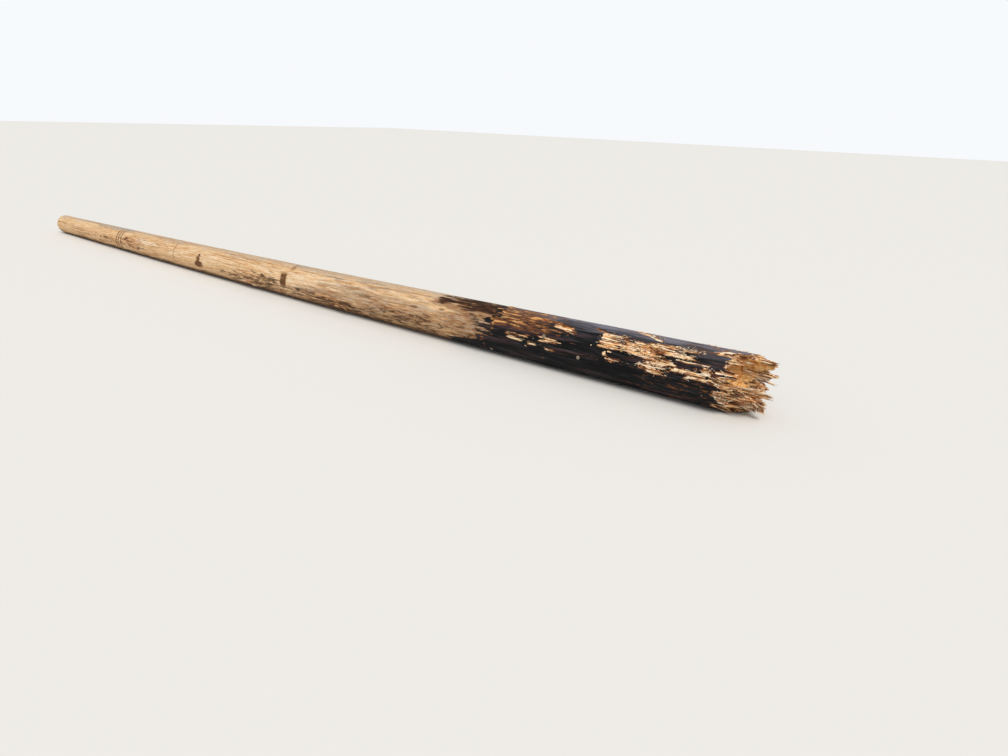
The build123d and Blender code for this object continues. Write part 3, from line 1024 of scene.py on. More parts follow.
class Paint(Graph):
    """Writes one material around a principled shader."""

    def __init__(self, name: str) -> None:
        """Starts a material with its shader."""
        self.material = bpy.data.materials.new(name)
        self.material.use_nodes = True
        super().__init__(self.material.node_tree)
        self.tree.nodes.clear()
        self.shader = self.node("ShaderNodeBsdfPrincipled")
        self.node("ShaderNodeOutputMaterial", {"Surface": self.shader.outputs[0]})

    def feed(self, socket: NodeSocket, value: object) -> None:
        """Links a socket or sets its value; a name stands for the mesh's attribute of that name."""
        if isinstance(value, str):
            value = self.node("ShaderNodeAttribute", attribute_name=value).outputs["Fac"]
        super().feed(socket, value)

    def cells(self, along: float, across: float, place: NodeSocket | None = None) -> NodeSocket:
        """Coordinates in cells along and across the fibres, of the mesh's grain or a given place."""
        place = place or self.node("ShaderNodeAttribute", attribute_name="grain").outputs["Vector"]
        scale = (along, across, across)
        return self.node("ShaderNodeMapping", {"Vector": place, "Scale": scale}).outputs[0]

    def noise(self, along: float, across: float, detail: float = 3.0, roughness: float = 0.55,
              distortion: float = 0.0, place: NodeSocket | None = None) -> NodeSocket:
        """Noise from 0 to 1, in cells along and across the fibres."""
        settings = {"Vector": self.cells(along, across, place), "Scale": 1.0, "Detail": detail,
                    "Roughness": roughness, "Distortion": distortion}
        return self.node("ShaderNodeTexNoise", settings).outputs["Fac"]

    def strips(self, along: float, across: float) -> NodeSocket:
        """A random number from 0 to 1 for each uneven cell along and across the fibres."""
        inputs = {"Vector": self.cells(along, across), "Scale": 1.0}
        random = self.node("ShaderNodeTexVoronoi", inputs).outputs["Color"]
        return self.node("ShaderNodeSeparateColor", {"Color": random}).outputs["Red"]

    def step(self, value: object, low: float, high: float) -> NodeSocket:
        """A soft step from 0 at low to 1 at high."""
        inputs = {"Value": value, "From Min": low, "From Max": high}
        return self.node("ShaderNodeMapRange", inputs, interpolation_type="SMOOTHSTEP").outputs[0]

    def ramp(self, value: object, stops: Sequence[tuple[float, tuple]]) -> NodeSocket:
        """A colour that runs through the stops as the value goes from 0 to 1."""
        made = self.node("ShaderNodeValToRGB", {"Fac": value})
        elements = made.color_ramp.elements
        while len(elements) < len(stops):
            elements.new(0.5)
        for element, (place, shade) in zip(elements, stops):
            element.position = place
            element.color = shade
        return made.outputs["Color"]

    def mix(self, share: object, first: object, second: object, blend: str = "MIX") -> NodeSocket:
        """Two colours mixed by a share from 0 to 1."""
        inputs = {0: share, 6: first, 7: second}
        return self.node("ShaderNodeMix", inputs, data_type="RGBA", blend_type=blend).outputs[2]

    def wash(self, base: object, tint: object, share: object, strength: float) -> NodeSocket:
        """A colour with some of another laid over it, as strongly as the share says."""
        return self.mix(self.math("MULTIPLY", share, strength), base, tint)

    def bump(self, height: object, distance: float) -> NodeSocket:
        """A normal that is tilted by a height times the distance in metres."""
        return self.node("ShaderNodeBump", {"Height": height, "Distance": distance}).outputs[0]

    def finish(self, base: object, roughness: object, normal: object, specular: float) -> Material:
        """Feeds the shader.

        Args:
            base: The colour.
            roughness: How dull the surface is.
            normal: The tilted normal.
            specular: How strongly it reflects.

        Returns:
            The material.
        """
        for name, value in (("Base Color", base), ("Roughness", roughness), ("Normal", normal),
                            ("Specular IOR Level", specular)):
            self.feed(self.shader.inputs[name], value)
        return self.material


@dataclass(frozen=True)
class TornColours:
    """Freshly torn wood: strips of straw, gold, orange and brown, and in the smooth hollow of the break pale
    wood brightened with painted light.
    """

    straw: tuple = colour(248, 230, 202)
    gold: tuple = colour(242, 205, 154)
    orange: tuple = colour(216, 152, 88)
    copper: tuple = colour(174, 106, 58)
    burnt: tuple = colour(86, 47, 27)
    red: tuple = colour(160, 88, 64)
    # deep is the colour of the painted shade in the depth of the break.
    deep: tuple = colour(66, 32, 18)
    # The last two colours are painted light for the smooth hollow.
    painted_glow: tuple = colour(255, 186, 108)
    painted_bright: tuple = colour(255, 214, 148)

    def lay(self, paint: Paint) -> tuple[NodeSocket, NodeSocket]:
        """The colour and the relief of torn wood."""
        cell = paint.strips(7.0, 120.0)
        streak = paint.noise(10.0, 200.0, 4.0, 0.62)
        shifts = paint.blend(("hue", 0.4), ("tone", 0.16))
        tone = paint.math("ADD", paint.blend((cell, 0.58), (streak, 0.66)), shifts)
        wood = paint.ramp(tone, [(0.30, self.burnt), (0.42, self.copper), (0.53, self.orange),
                                 (0.66, self.gold), (0.84, self.straw)])
        ruddy = paint.step(paint.noise(9.0, 40.0, 3.0), 0.56, 0.66)
        wood = paint.wash(wood, self.red, ruddy, 0.5)
        # In the smooth hollow the colour runs from copper up to the two painted light colours: pale fresh
        # wood, brightened as painted light falling into the hollow. The value that runs it is smear noise and
        # tone, with no wear in it.
        smear = paint.noise(26.0, 90.0, 4.0, 0.6)
        worn = paint.blend((smear, 0.42), ("tone", 0.24))
        hollow_painted_light = paint.ramp(worn, [(0.0, self.copper), (0.09, self.orange), (0.17, self.painted_glow),
                                  (0.3, self.painted_bright)])
        wood = paint.mix("calm", wood, hollow_painted_light)
        return wood, paint.blend((streak, 1.0), (cell, 0.7))


@dataclass(frozen=True)
class CoatColours:
    """Old tarry preservative: charcoal with grey and brown scuffs along the grain, and a painted grey-blue
    sky reflection on its upper side.
    """

    black: tuple = colour(11, 11, 13)
    charcoal: tuple = colour(25, 25, 27)
    slate: tuple = colour(74, 74, 81)
    painted_sky_sheen: tuple = colour(128, 126, 136)
    plum: tuple = colour(74, 44, 42)
    brown: tuple = colour(112, 70, 42)
    ochre: tuple = colour(184, 122, 66)
    chip: tuple = colour(214, 160, 104)

    def lay(self, paint: Paint) -> tuple[NodeSocket, NodeSocket]:
        """The colour and the relief of the coat."""
        streak = paint.noise(5.0, 110.0, 4.0, 0.65)
        broad = paint.noise(2.4, 22.0, 3.0, 0.6)
        coarse = paint.noise(12.0, 60.0, 4.0, 0.68)
        # The sky attribute lays a painted sky reflection on the coat's upper side: it lifts the tone towards
        # slate and the pale top colour of the ramp.
        tone = paint.blend((streak, 0.6), (broad, 0.4), ("sky", 0.33))
        coat = paint.ramp(tone, [(0.42, self.black), (0.54, self.charcoal), (0.68, self.slate),
                                 (0.84, self.painted_sky_sheen)])
        coat = paint.wash(coat, self.plum, paint.step(broad, 0.52, 0.66), 0.45)
        coat = paint.mix("plum", coat, self.plum)
        scuff = paint.step(paint.blend((coarse, 1.0), ("worn", 0.28)), 0.64, 0.74)
        coat = paint.wash(coat, self.brown, scuff, 0.85)
        bare = paint.step(paint.blend((coarse, 0.6), (streak, 0.4), ("worn", 0.15)), 0.67, 0.72)
        coat = paint.mix(bare, coat, paint.ramp(streak, [(0.42, self.ochre), (0.6, self.chip)]))
        return coat, paint.blend((streak, 1.0), (coarse, 0.8), (bare, -0.5))


@dataclass(frozen=True)
class WeatheredWood:
    """Golden sapwood that has weathered: streaks along the grain, grey on top, stains, a darker underside and
    tar, with painted shade in cracks and holes.
    """

    bloom: tuple = colour(234, 219, 196)
    straw: tuple = colour(226, 196, 154)
    golden: tuple = colour(224, 184, 138)
    amber: tuple = colour(198, 152, 106)
    brown: tuple = colour(134, 92, 58)
    grey: tuple = colour(174, 162, 147)
    rust: tuple = colour(170, 108, 62)
    dark: tuple = colour(84, 58, 38)
    stain: tuple = colour(122, 98, 80)
    pit: tuple = colour(40, 26, 17)

    def make(self) -> Material:
        """The material."""
        paint = Paint("weathered_wood")
        broad = paint.noise(1.0, 15.0, 3.0, 0.6, 0.5)
        streak = paint.noise(5.0, 95.0, 5.0, 0.68)
        fibre = paint.noise(9.0, 320.0, 3.0, 0.6)
        coarse = paint.noise(12.0, 55.0, 4.0, 0.68)
        tone = paint.blend((streak, 0.55), (broad, 0.25), (fibre, 0.2))
        wood = paint.ramp(tone, [(0.37, self.brown), (0.44, self.amber), (0.5, self.golden),
                                 (0.58, self.straw)])
        pale = paint.step(paint.blend((streak, 1.0), ("pale", 0.14)), 0.56, 0.72)
        wood = paint.wash(wood, self.bloom, pale, 0.6)
        blush = paint.noise(8.0, 60.0, 5.0, 0.68)
        rust = paint.step(paint.blend((blush, 1.0), ("rust", 0.2)), 0.58, 0.78)
        wood = paint.wash(wood, self.rust, rust, 0.7)
        wood = paint.mix(paint.math("MULTIPLY", "grey", paint.step(streak, 0.36, 0.56)), wood, self.grey)
        thread = paint.step(paint.noise(3.0, 170.0, 2.0, 0.5), 0.62, 0.72)
        wood = paint.wash(wood, self.brown, thread, 0.55)
        speck = paint.noise(36.0, 105.0, 4.0, 0.65)
        wood = paint.wash(wood, self.brown, paint.step(speck, 0.55, 0.72), 0.6)
        wood = paint.wash(wood, self.bloom, paint.step(speck, 0.45, 0.3), 0.5)
        mottle = paint.step(paint.blend((coarse, 1.0), ("mottle", 0.2)), 0.62, 0.8)
        wood = paint.wash(wood, self.dark, mottle, 0.9)
        torn, torn_height = TornColours().lay(paint)
        wood = paint.mix("fresh", wood, torn)
        stain = paint.math("MULTIPLY", "stain", paint.step(streak, 0.2, 0.5))
        wood = paint.mix(stain, wood, self.stain, "MULTIPLY")
        coat, coat_height = CoatColours().lay(paint)
        wood = paint.mix(paint.step(paint.blend(("tar", 1.0), (coarse, 0.9)), 0.88, 1.1), wood, coat)
        # Painted shade in the cracks and the drilled holes, in the pit colour.
        wood = paint.mix("cavity", wood, self.pit)
        height = paint.blend((streak, 1.0), (fibre, 0.5), (coarse, 0.3), (torn_height, 0.3),
                             (coat_height, 0.1))
        return paint.finish(wood, 0.82, paint.bump(height, 0.003), 0.2)


@dataclass(frozen=True)
class EndGrain:
    """Sawn end grain: yearly rings round the pith, rays and dirt, with painted shade in its cracks and on its
    middle.
    """

    late: tuple = colour(150, 100, 58)
    early: tuple = colour(214, 170, 116)
    dirt: tuple = colour(110, 92, 74)
    pit: tuple = colour(40, 26, 18)

    def make(self) -> Material:
        """The material."""
        paint = Paint("end_grain")
        warp = paint.noise(1.0, 14.0, 2.0)
        reach = paint.blend(("reach", 1.0), (warp, 0.012))
        wave = paint.math("SINE", paint.math("MULTIPLY", reach, 1500.0))
        rings = paint.math("MULTIPLY_ADD", wave, 0.5, 0.5)
        wood = paint.ramp(rings, [(0.1, self.early), (0.85, self.late)])
        blotch = paint.noise(1.0, 40.0, 4.0, 0.6)
        wood = paint.wash(wood, self.dirt, paint.step(blotch, 0.4, 0.7), 0.6)
        # Painted shade in the cracks and on the middle of the sawn top.
        wood = paint.mix("cavity", wood, self.pit)
        return paint.finish(wood, 0.85, paint.bump(paint.blend((rings, 0.4), (blotch, 1.0)), 0.0015), 0.2)


@dataclass(frozen=True)
class TornWood:
    """Freshly torn heartwood, with painted shade in the depth of the break."""

    def make(self) -> Material:
        """The material."""
        paint = Paint("torn_wood")
        colours = TornColours()
        wood, height = colours.lay(paint)
        # Painted shade: the deep colour where the break is deep, dented or far into the hollow.
        wood = paint.mix("cavity", wood, colours.deep)
        return paint.finish(wood, 0.75, paint.bump(height, 0.004), 0.25)


@dataclass(frozen=True)
class BlackCoat:
    """The tarry coat, with a dull gloss from its shader and a painted sky reflection in its colour on its
    upper side.
    """

    def make(self) -> Material:
        """The material."""
        paint = Paint("black_coat")
        coat, height = CoatColours().lay(paint)
        fine = paint.noise(20.0, 300.0, 3.0, 0.6)
        rough = paint.math("MULTIPLY_ADD", fine, 0.3, 0.5)
        return paint.finish(coat, rough, paint.bump(height, 0.003), 0.12)


@dataclass(frozen=True)
class PlugStuff:
    """Dull pale plug, mottled with dirt."""

    body: tuple = colour(176, 160, 136)
    dirt: tuple = colour(74, 60, 50)

    def make(self) -> Material:
        """The material."""
        paint = Paint("plug")
        place = paint.node("ShaderNodeTexCoord").outputs["Object"]
        mottled = paint.noise(160.0, 160.0, place=place)
        base = paint.ramp(mottled, [(0.35, self.dirt), (0.6, self.body)])
        return paint.finish(base, 0.6, paint.bump(mottled, 0.0006), 0.4)


@dataclass
class Finishes:
    """All the pole's materials, each made once."""

    wood: Material = field(default_factory=WeatheredWood().make)
    end: Material = field(default_factory=EndGrain().make)
    torn: Material = field(default_factory=TornWood().make)
    coat: Material = field(default_factory=BlackCoat().make)
    plug: Material = field(default_factory=PlugStuff().make)


class Piece(ABC):
    """A piece of the pole."""

    @abstractmethod
    def build(self, finishes: Finishes) -> Object:
        """Makes the piece.

        Args:
            finishes: The pole's materials.

        Returns:
            The piece, tied to the pole's body.
        """


@dataclass
class Trunk(Piece):
    """One length of the trunk, with cracks, holes and band marks.

    Attributes:
        name: The piece's name.
        start: Where it begins.
        end: Where it ends.
        pitch: Distance between rings of vertices.
        finest: Least distance between them where more are set.
        columns: Vertices in each ring.
        has_top: Whether it has the sawn top.
        rim_wear: How much is worn off the sawn top's rim.
        rim_length: Over which length it is worn.
        top_rings: Rings of vertices on the sawn top.
        top_cracks: Angle and reach of the cracks in the sawn top, the deep ones first.
        seed: Picks the small cracks.
        small_cracks: How many small cracks there are.
    """

    name: str
    start: float
    end: float
    pitch: float
    finest: float = 0.0014
    columns: int = 240
    has_top: bool = False
    rim_wear: float = 0.0022
    rim_length: float = 0.004
    top_rings: int = 40
    top_cracks: tuple = ((24, 0.86), (141, 0.62), (252, 0.74), (318, 0.45), (70, 0.4), (190, 0.5),
                         (285, 0.36), (108, 0.3), (345, 0.55))
    seed: int = 1
    small_cracks: int = 34

    def stations(self) -> Array:
        """Distances of the rings, closer at the holes and band marks."""
        count = round((self.end - self.start) / self.pitch)
        places = [np.linspace(self.start, self.end, count + 1)]
        places += [hole.s + np.linspace(-1.6, 1.6, 13) * hole.radius for hole in HOLES]
        places += [knot.s + np.linspace(-1.2, 1.2, 5) * knot.size for knot in KNOTS]
        places += [RING_START + i * RING_PITCH + np.linspace(-0.016, 0.016, 13) for i in range(RING_COUNT)]
        places.append(LINE_PLACE + np.linspace(-0.012, 0.012, 13))
        if self.has_top:
            places.append(np.array([0.0008, 0.002, 0.004, 0.008]))
        merged = np.unique(np.round(np.concatenate(places), 5))
        merged = merged[(merged >= self.start) & (merged <= self.end)]
        keep = np.append(True, np.diff(merged) > self.finest)
        keep[-1] = True
        return merged[keep]

    def cracks(self) -> list[Crack]:
        """The main cracks and many small ones."""
        rng = np.random.default_rng(self.seed)
        found = list(MAIN_CRACKS)
        for _ in range(self.small_cracks):
            length = rng.uniform(0.12, 0.7)
            begin = rng.uniform(self.start + 0.03, self.end - length - 0.03)
            width = rng.uniform(0.0012, 0.003)
            found.append(Crack(begin, begin + length, rng.uniform(0, 360), width, 3.0 * width))
        return found

    def build(self, finishes: Finishes) -> Object:
        """Makes this length of the trunk."""
        line = self.stations()
        s, angle = grid_round(line, self.columns)
        depth = np.zeros(s.shape)
        for crack in self.cracks():
            self._open(crack, line, angle, depth)
        s, angle, pit = self._drill(s, angle)
        out = SURFACE.relief(s, angle) - depth - pit
        if self.has_top:
            out = out - self.rim_wear * np.clip(1 - s / self.rim_length, 0, 1) ** 2
        values = SURFACE.tints(s, angle)
        values["grain"] = SURFACE.grain(s, angle)
        # Painted shade in the cracks and in the drilled holes.
        values["cavity"] = np.clip(depth / 0.006 + pit / 0.02, 0, 1)
        points = FORM.point(s, angle, FORM.radius(s) + out)
        if self.end == BUTT_SEAM:
            points[-1] = chorded(points[-1], self.columns // SEAM_CORNERS)
        draft = MeshDraft(self.name)
        first = draft.add_points(points, values)
        draft.add_grid(first, len(line), self.columns)
        if self.has_top:
            self._add_top(draft, first, angle[0], (FORM.radius(s) + out)[0])
        else:
            draft.add_lid(first, self.columns, line[0])
        draft.add_lid(first + (len(line) - 1) * self.columns, self.columns, line[-1], inward=True)
        return settle(draft.build([finishes.wood, finishes.end]), ["pole_shaft"])

    def _open(self, crack: Crack, line: Array, angle: Array, depth: Array) -> None:
        """Draws three columns of vertices together along a crack and sinks the middle one."""
        rows = np.nonzero((line > crack.start) & (line < crack.end))[0]
        if len(rows) < 4:
            return
        share = (line[rows] - crack.start) / (crack.end - crack.start)
        gape = np.sin(math.pi * share) ** 0.6 * (0.8 + 0.3 * np.sin(9 * share + crack.angle))
        middle = round(radians(crack.angle) / TURN * self.columns) % self.columns
        half = np.maximum(crack.width / 2 * gape, 0.0003) / FORM.radius(line[rows])
        wander = 0.25 * np.sin(11 * line[rows] + crack.angle) * TURN / self.columns
        centre = TURN * middle / self.columns + wander
        for step in (-1, 0, 1):
            lap, column = divmod(middle + step, self.columns)
            angle[rows, column] = centre + step * half - lap * TURN
        depth[rows, middle] = crack.depth * gape

    def _drill(self, s: Array, angle: Array) -> tuple[Array, Array, Array]:
        """Fits the vertices round each hole to its edge and sinks those inside it."""
        pit = np.zeros(s.shape)
        for hole in HOLES:
            radius = FORM.radius(s)
            along, across = hole.offsets(s, angle)
            far = np.hypot(along, across)
            near = far < 1.45 * hole.radius
            inside = far < 0.86 * hole.radius
            edge = near & ~inside & (far < 1.2 * hole.radius)
            scale = np.where(edge, hole.radius / np.maximum(far, 1e-6), 1.0)
            scale = np.where(inside, np.minimum(1.0, 0.9 * hole.radius / np.maximum(far, 1e-6)), scale)
            s = np.where(near, hole.s + along * scale, s)
            turned = radians(hole.angle) + across * scale / radius
            angle = np.where(near, turned, angle)
            pit = np.where(inside, hole.depth, pit)
        return s, angle, pit

    def _add_top(self, draft: MeshDraft, first: int, angle: Array, reach: Array) -> None:
        """Adds the sawn top with its star of cracks.

        Args:
            draft: The mesh so far.
            first: The first vertex of the trunk's first ring.
            angle: Angles of that ring.
            reach: Radii of that ring.
        """
        share = np.linspace(1, 0.02, self.top_rings)[1:, None]
        around = np.tile(angle, (len(share), 1))
        out = share * reach
        uneven_cut = layered_noise(out * 60, np.cos(around), np.sin(around), 5, 3)
        dip = 0.0004 * np.sin(out * 1500) + 0.0006 * uneven_cut
        cavity = np.zeros(out.shape)
        for i, (place, far) in enumerate(self.top_cracks):
            middle = round(place / 360 * self.columns) % self.columns
            band = np.clip(np.minimum(share[:, 0] / 0.1, (far - share[:, 0]) / 0.25), 0, 1)
            dip[:, middle] -= (0.02 if i < 4 else 0.008) * band
            # The cracks in the sawn top get painted shade.
            cavity[:, middle] = np.maximum(cavity[:, middle], band)
        s = -dip - 0.0006
        values = {"grain": np.stack([s, *crosswise(around, out)], axis=-1), "reach": out, "cavity": cavity}
        start = draft.add_points(FORM.point(np.maximum(s, 0), around, out), values)
        draft.add_band(first, start, self.columns, 1, inward=True)
        draft.add_grid(start, len(share), self.columns, 1, inward=True)
        draft.add_lid(start + (len(share) - 1) * self.columns, self.columns, 0.002, 1)


@dataclass
class BrokenEnd(Piece):
    """The last length of the trunk with its torn face, whose fibres end at their own lengths."""

    name: str = "broken_end"
    start: float = BUTT_SEAM
    columns: int = 360
    outer_rows: int = 64
    inner_rows: int = 176
    samples: int = 320

    def build(self, finishes: Finishes) -> Object:
        """Makes the broken end."""
        angle = turns(self.columns)
        rim = BREAK.rim(angle)
        s = self.start + np.linspace(0, 1, self.outer_rows)[:, None] * (rim - self.start)
        around = np.tile(angle, (self.outer_rows, 1))
        out = FORM.radius(s) + SURFACE.relief(s, around)
        values = SURFACE.tints(s, around)
        values.update(dict.fromkeys(("stain", "tar", "mottle", "rust", "grey"), np.zeros(s.shape)))
        values.update(grain=SURFACE.grain(s, around), fresh=np.ones(s.shape))
        points = FORM.point(s, around, out)
        points[0] = chorded(points[0], self.columns // SEAM_CORNERS)
        draft = MeshDraft(self.name)
        first = draft.add_points(points, values)
        draft.add_grid(first, self.outer_rows, self.columns)
        draft.add_lid(first, self.columns, self.start)
        self._add_face(draft, first + (self.outer_rows - 1) * self.columns, angle, out[-1], rim)
        return settle(draft.build([finishes.wood, finishes.torn]), ["pole_shaft"])

    def _add_face(self, draft: MeshDraft, ring: int, angle: Array, reach: Array, rim: Array) -> None:
        """Adds the torn face, from the rim to the heart.

        Args:
            draft: The mesh so far.
            ring: First vertex of the outer surface's last ring.
            angle: Angles of that ring.
            reach: Radii of that ring.
            rim: Distances of that ring.
        """
        fine = np.linspace(1, 0, self.samples)
        radii = fine[:, None] * reach
        ends = BREAK.frayed(np.tile(angle, (len(fine), 1)), radii)
        ends[0] = rim
        rows = self.inner_rows
        s, out = np.zeros((rows, self.columns)), np.zeros((rows, self.columns))
        for j in range(self.columns):
            steps = np.hypot(np.diff(radii[:, j]), 0.7 * np.diff(ends[:, j]))
            travel = np.concatenate([[0], np.cumsum(steps)])
            spots = np.linspace(0, travel[-1], rows + 2)[1:-1]
            out[:, j] = np.interp(spots, travel, radii[:, j])
            s[:, j] = np.interp(spots, travel, ends[:, j])
        around = np.tile(angle, (rows, 1))
        y, z = np.cos(around), np.sin(around)
        grooves = lattice_noise(s * 9, y * 26, z * 26, 61) + 0.5 * lattice_noise(s * 20, y * 60, z * 60, 64)
        out = out + 0.002 * np.clip(out / 0.02, 0, 1) * np.clip((reach - out) / 0.006, 0, 1) * grooves
        around = around + 0.010 * lattice_noise(s * 12, out * 120, y + z, 62)
        share = BREAK.hollow_share(around, out)
        # calm marks the smooth hollow, whose colour carries painted light.
        calm = smooth(share, 1.2, 0.98)
        wobble = 1.2 * lattice_noise(s * 14, y * 5, z * 5, 65)
        arcs = lattice_noise(s * 75 + wobble, y * 3.2, z * 3.2, 66)
        arcs = arcs + 0.6 * lattice_noise(s * 190 + wobble, y * 6, z * 6, 67)
        out = out + 0.0022 * calm * arcs * np.clip(out / 0.03, 0, 1)
        dent = s - BREAK.end(around, out)
        # Painted shade: darker further back in the break and in dents below the fibre ends, and deep darkens
        # far into the hollow.
        dark = np.maximum(0.3 * smooth(FORM.length - s, 0.0, 0.3), 0.8 * smooth(dent, -0.002, -0.03))
        deep = 0.7 * smooth(FORM.length - s, 0.16, 0.26)
        plain = lattice_noise(out * 90, y * 30, z * 30, 63)
        values = {
            "grain": np.stack([s, *crosswise(around, out)], axis=-1),
            "cavity": dark * (1 - calm) + deep * calm,
            "tone": plain * (1 - calm) + arcs * calm,
            "calm": calm,
            "hue": np.full(s.shape, -0.15),
            "splinter": np.where(share < 1.3, 0.02, 1.0),
        }
        start = draft.add_points(FORM.point(s, around, out), values)
        draft.add_band(ring, start, self.columns, 1)
        draft.add_grid(start, rows, self.columns, 1)
        centre = draft.add_middle(float(np.mean(s[-1])))
        last = start + (rows - 1) * self.columns
        draft.add_cap(last, self.columns, centre, 1, inward=True, soft=True)


@dataclass
class ButtCoat(Piece):
    """One length of the black coat: a thin skin with torn places, whose edges follow the fibres.

    Its bare rim is how much of the trunk is bare along the break.
    """

    name: str
    start: float
    end: float
    rows: int = 132
    columns: int = 216
    thickness: float = 0.0024
    bare_rim: float = 0.007

    def cover(self, s: Array, angle: Array) -> Array:
        """Above 0 where the coat is left.

        Args:
            s: Distance from the sawn top.
            angle: Angle round the trunk.

        Returns:
            About how far inside the coat's edge each place lies.
        """
        reach = FORM.radius(s)
        y, z = crosswise(angle, reach)
        fibres = layered_noise(s * 16, y * 95, z * 95, 81, 3)
        patches = layered_noise(s * 5, y * 22, z * 22, 82, 3)
        left = (s - np.maximum(coat_edge(angle), COAT_FIRST)) / 0.05 + 1.2 * fibres + 0.6 * patches
        for tear in TEARS:
            left = np.minimum(left, tear.gap(s, angle) + 1.1 * fibres + 0.3)
        left = np.minimum(left, (BREAK.rim(angle) - self.bare_rim - s) / 0.012 + 0.9 * fibres)
        return np.minimum(left, 1.7 + 1.6 * fibres + 0.7 * patches)

    def build(self, finishes: Finishes) -> Object:
        """Makes this length of the coat."""
        s, angle = grid_round(np.linspace(self.start, self.end, self.rows), self.columns)
        cover = self.cover(s, angle).reshape(-1)
        places = list(zip(s.reshape(-1), angle.reshape(-1)))
        numbers: dict[tuple[int, int], int] = {}

        def crossing(a: int, b: int) -> int:
            """The vertex where the coat's edge crosses the line between two grid points."""
            key = (min(a, b), max(a, b))
            if key not in numbers:
                share = cover[a] / (cover[a] - cover[b])
                (here, turned), (there, beyond) = places[a], places[b]
                numbers[key] = len(places)
                turn = share * float(wrapped(beyond - turned))
                places.append((here + share * (there - here), turned + turn))
            return numbers[key]

        polygons: list[list[int]] = []
        for corners in grid_faces(self.rows, self.columns).tolist():
            left = [cover[corner] > 0 for corner in corners]
            ring = []
            for k, after in enumerate((1, 2, 3, 0)):
                if left[k]:
                    ring.append(corners[k])
                if left[k] != left[after]:
                    ring.append(crossing(corners[k], corners[after]))
            if ring:
                polygons.append(ring)
        return self._solid(polygons, np.array(places), finishes)

    def _solid(self, polygons: list[list[int]], places: Array, finishes: Finishes) -> Object:
        """Gives the skin its thickness and closes its edges.

        Args:
            polygons: The skin's faces.
            places: Distance and angle of each vertex.
            finishes: The pole's materials.

        Returns:
            The piece.
        """
        used = sorted({k for ring in polygons for k in ring})
        renumber = {k: i for i, k in enumerate(used)}
        polygons = [[renumber[k] for k in ring] for ring in polygons]
        s, angle = places[used, 0], places[used, 1]
        edges: dict[tuple[int, int], int] = {}
        for ring in polygons:
            for a, b in zip(ring, ring[1:] + ring[:1]):
                edges[(a, b)] = edges.get((a, b), 0) + 1
        border = [(a, b) for a, b in edges if (b, a) not in edges]
        on_edge = np.zeros(len(used))
        on_edge[[k for pair in border for k in pair]] = 1
        on_edge = on_edge * (s > self.start + 1e-6) * (s < self.end - 1e-6)
        base = FORM.radius(s) + SURFACE.relief(s, angle)
        y, z = crosswise(angle, base)
        wave = layered_noise(s * 8, y * 60, z * 60, 83, 3)
        near = 1 - smooth(self.cover(s, angle), 0.0, 0.9)
        curl = 0.0028 * near * smooth(wave, 0.1, 0.7)
        under = base - 0.0008 + curl
        over = base + self.thickness * (1 - 0.5 * on_edge) + 0.0007 * wave + curl
        brown = smooth(np.abs(wrapped(angle - 0.4)), 0.95, 0.45) * smooth(s, 7.85, 7.35)
        purple = np.hypot((s - 8.68) / 0.045, wrapped(angle - radians(69)) / 0.1)
        # sky: where the coat gets a painted sky reflection, on its upper side, strongest between the top and
        # the back and fading out towards the front.
        turned = wrapped(angle) + 0.25 * wave
        facing = smooth(turned, radians(60), radians(-15))
        values = {
            "grain": SURFACE.grain(s, angle),
            "sky": facing * smooth(turned, radians(-105), radians(-58)),
            "worn": np.clip(0.8 * near + brown + 0.3 * smooth(s, 8.0, 8.4), 0, 1.2),
            "plum": 0.8 * smooth(purple + 0.2 * wave, 1.2, 0.7),
        }
        draft = MeshDraft(self.name)

        def skins(chosen: Sequence[int]) -> list[int]:
            """Adds the outer and the inner vertices of the chosen places."""
            held = {name: value[chosen] for name, value in values.items()}
            return [draft.add_points(FORM.point(s[chosen], angle[chosen], reach[chosen]), held)
                    for reach in (over, under)]

        top, bottom = skins(range(len(s)))
        for size in range(3, 7):
            faces = [ring for ring in polygons if len(ring) == size]
            if faces:
                draft.add_faces(np.array(faces) + top)
                draft.add_faces(np.array(faces)[:, ::-1] + bottom)
        wall = [[b + top, a + top, a + bottom, b + bottom] for a, b in border if on_edge[a] + on_edge[b] > 0]
        draft.add_faces(np.array(wall), soft=False)
        cut = [(a, b) for a, b in border if on_edge[a] + on_edge[b] == 0]
        ends = sorted({k for pair in cut for k in pair})
        spot = {k: i for i, k in enumerate(ends)}
        high, low = skins(ends)
        lid = [[spot[b] + high, spot[a] + high, spot[a] + low, spot[b] + low] for a, b in cut]
        draft.add_faces(np.array(lid), soft=False)
        return settle(draft.build([finishes.coat]), ["butt_coat"])


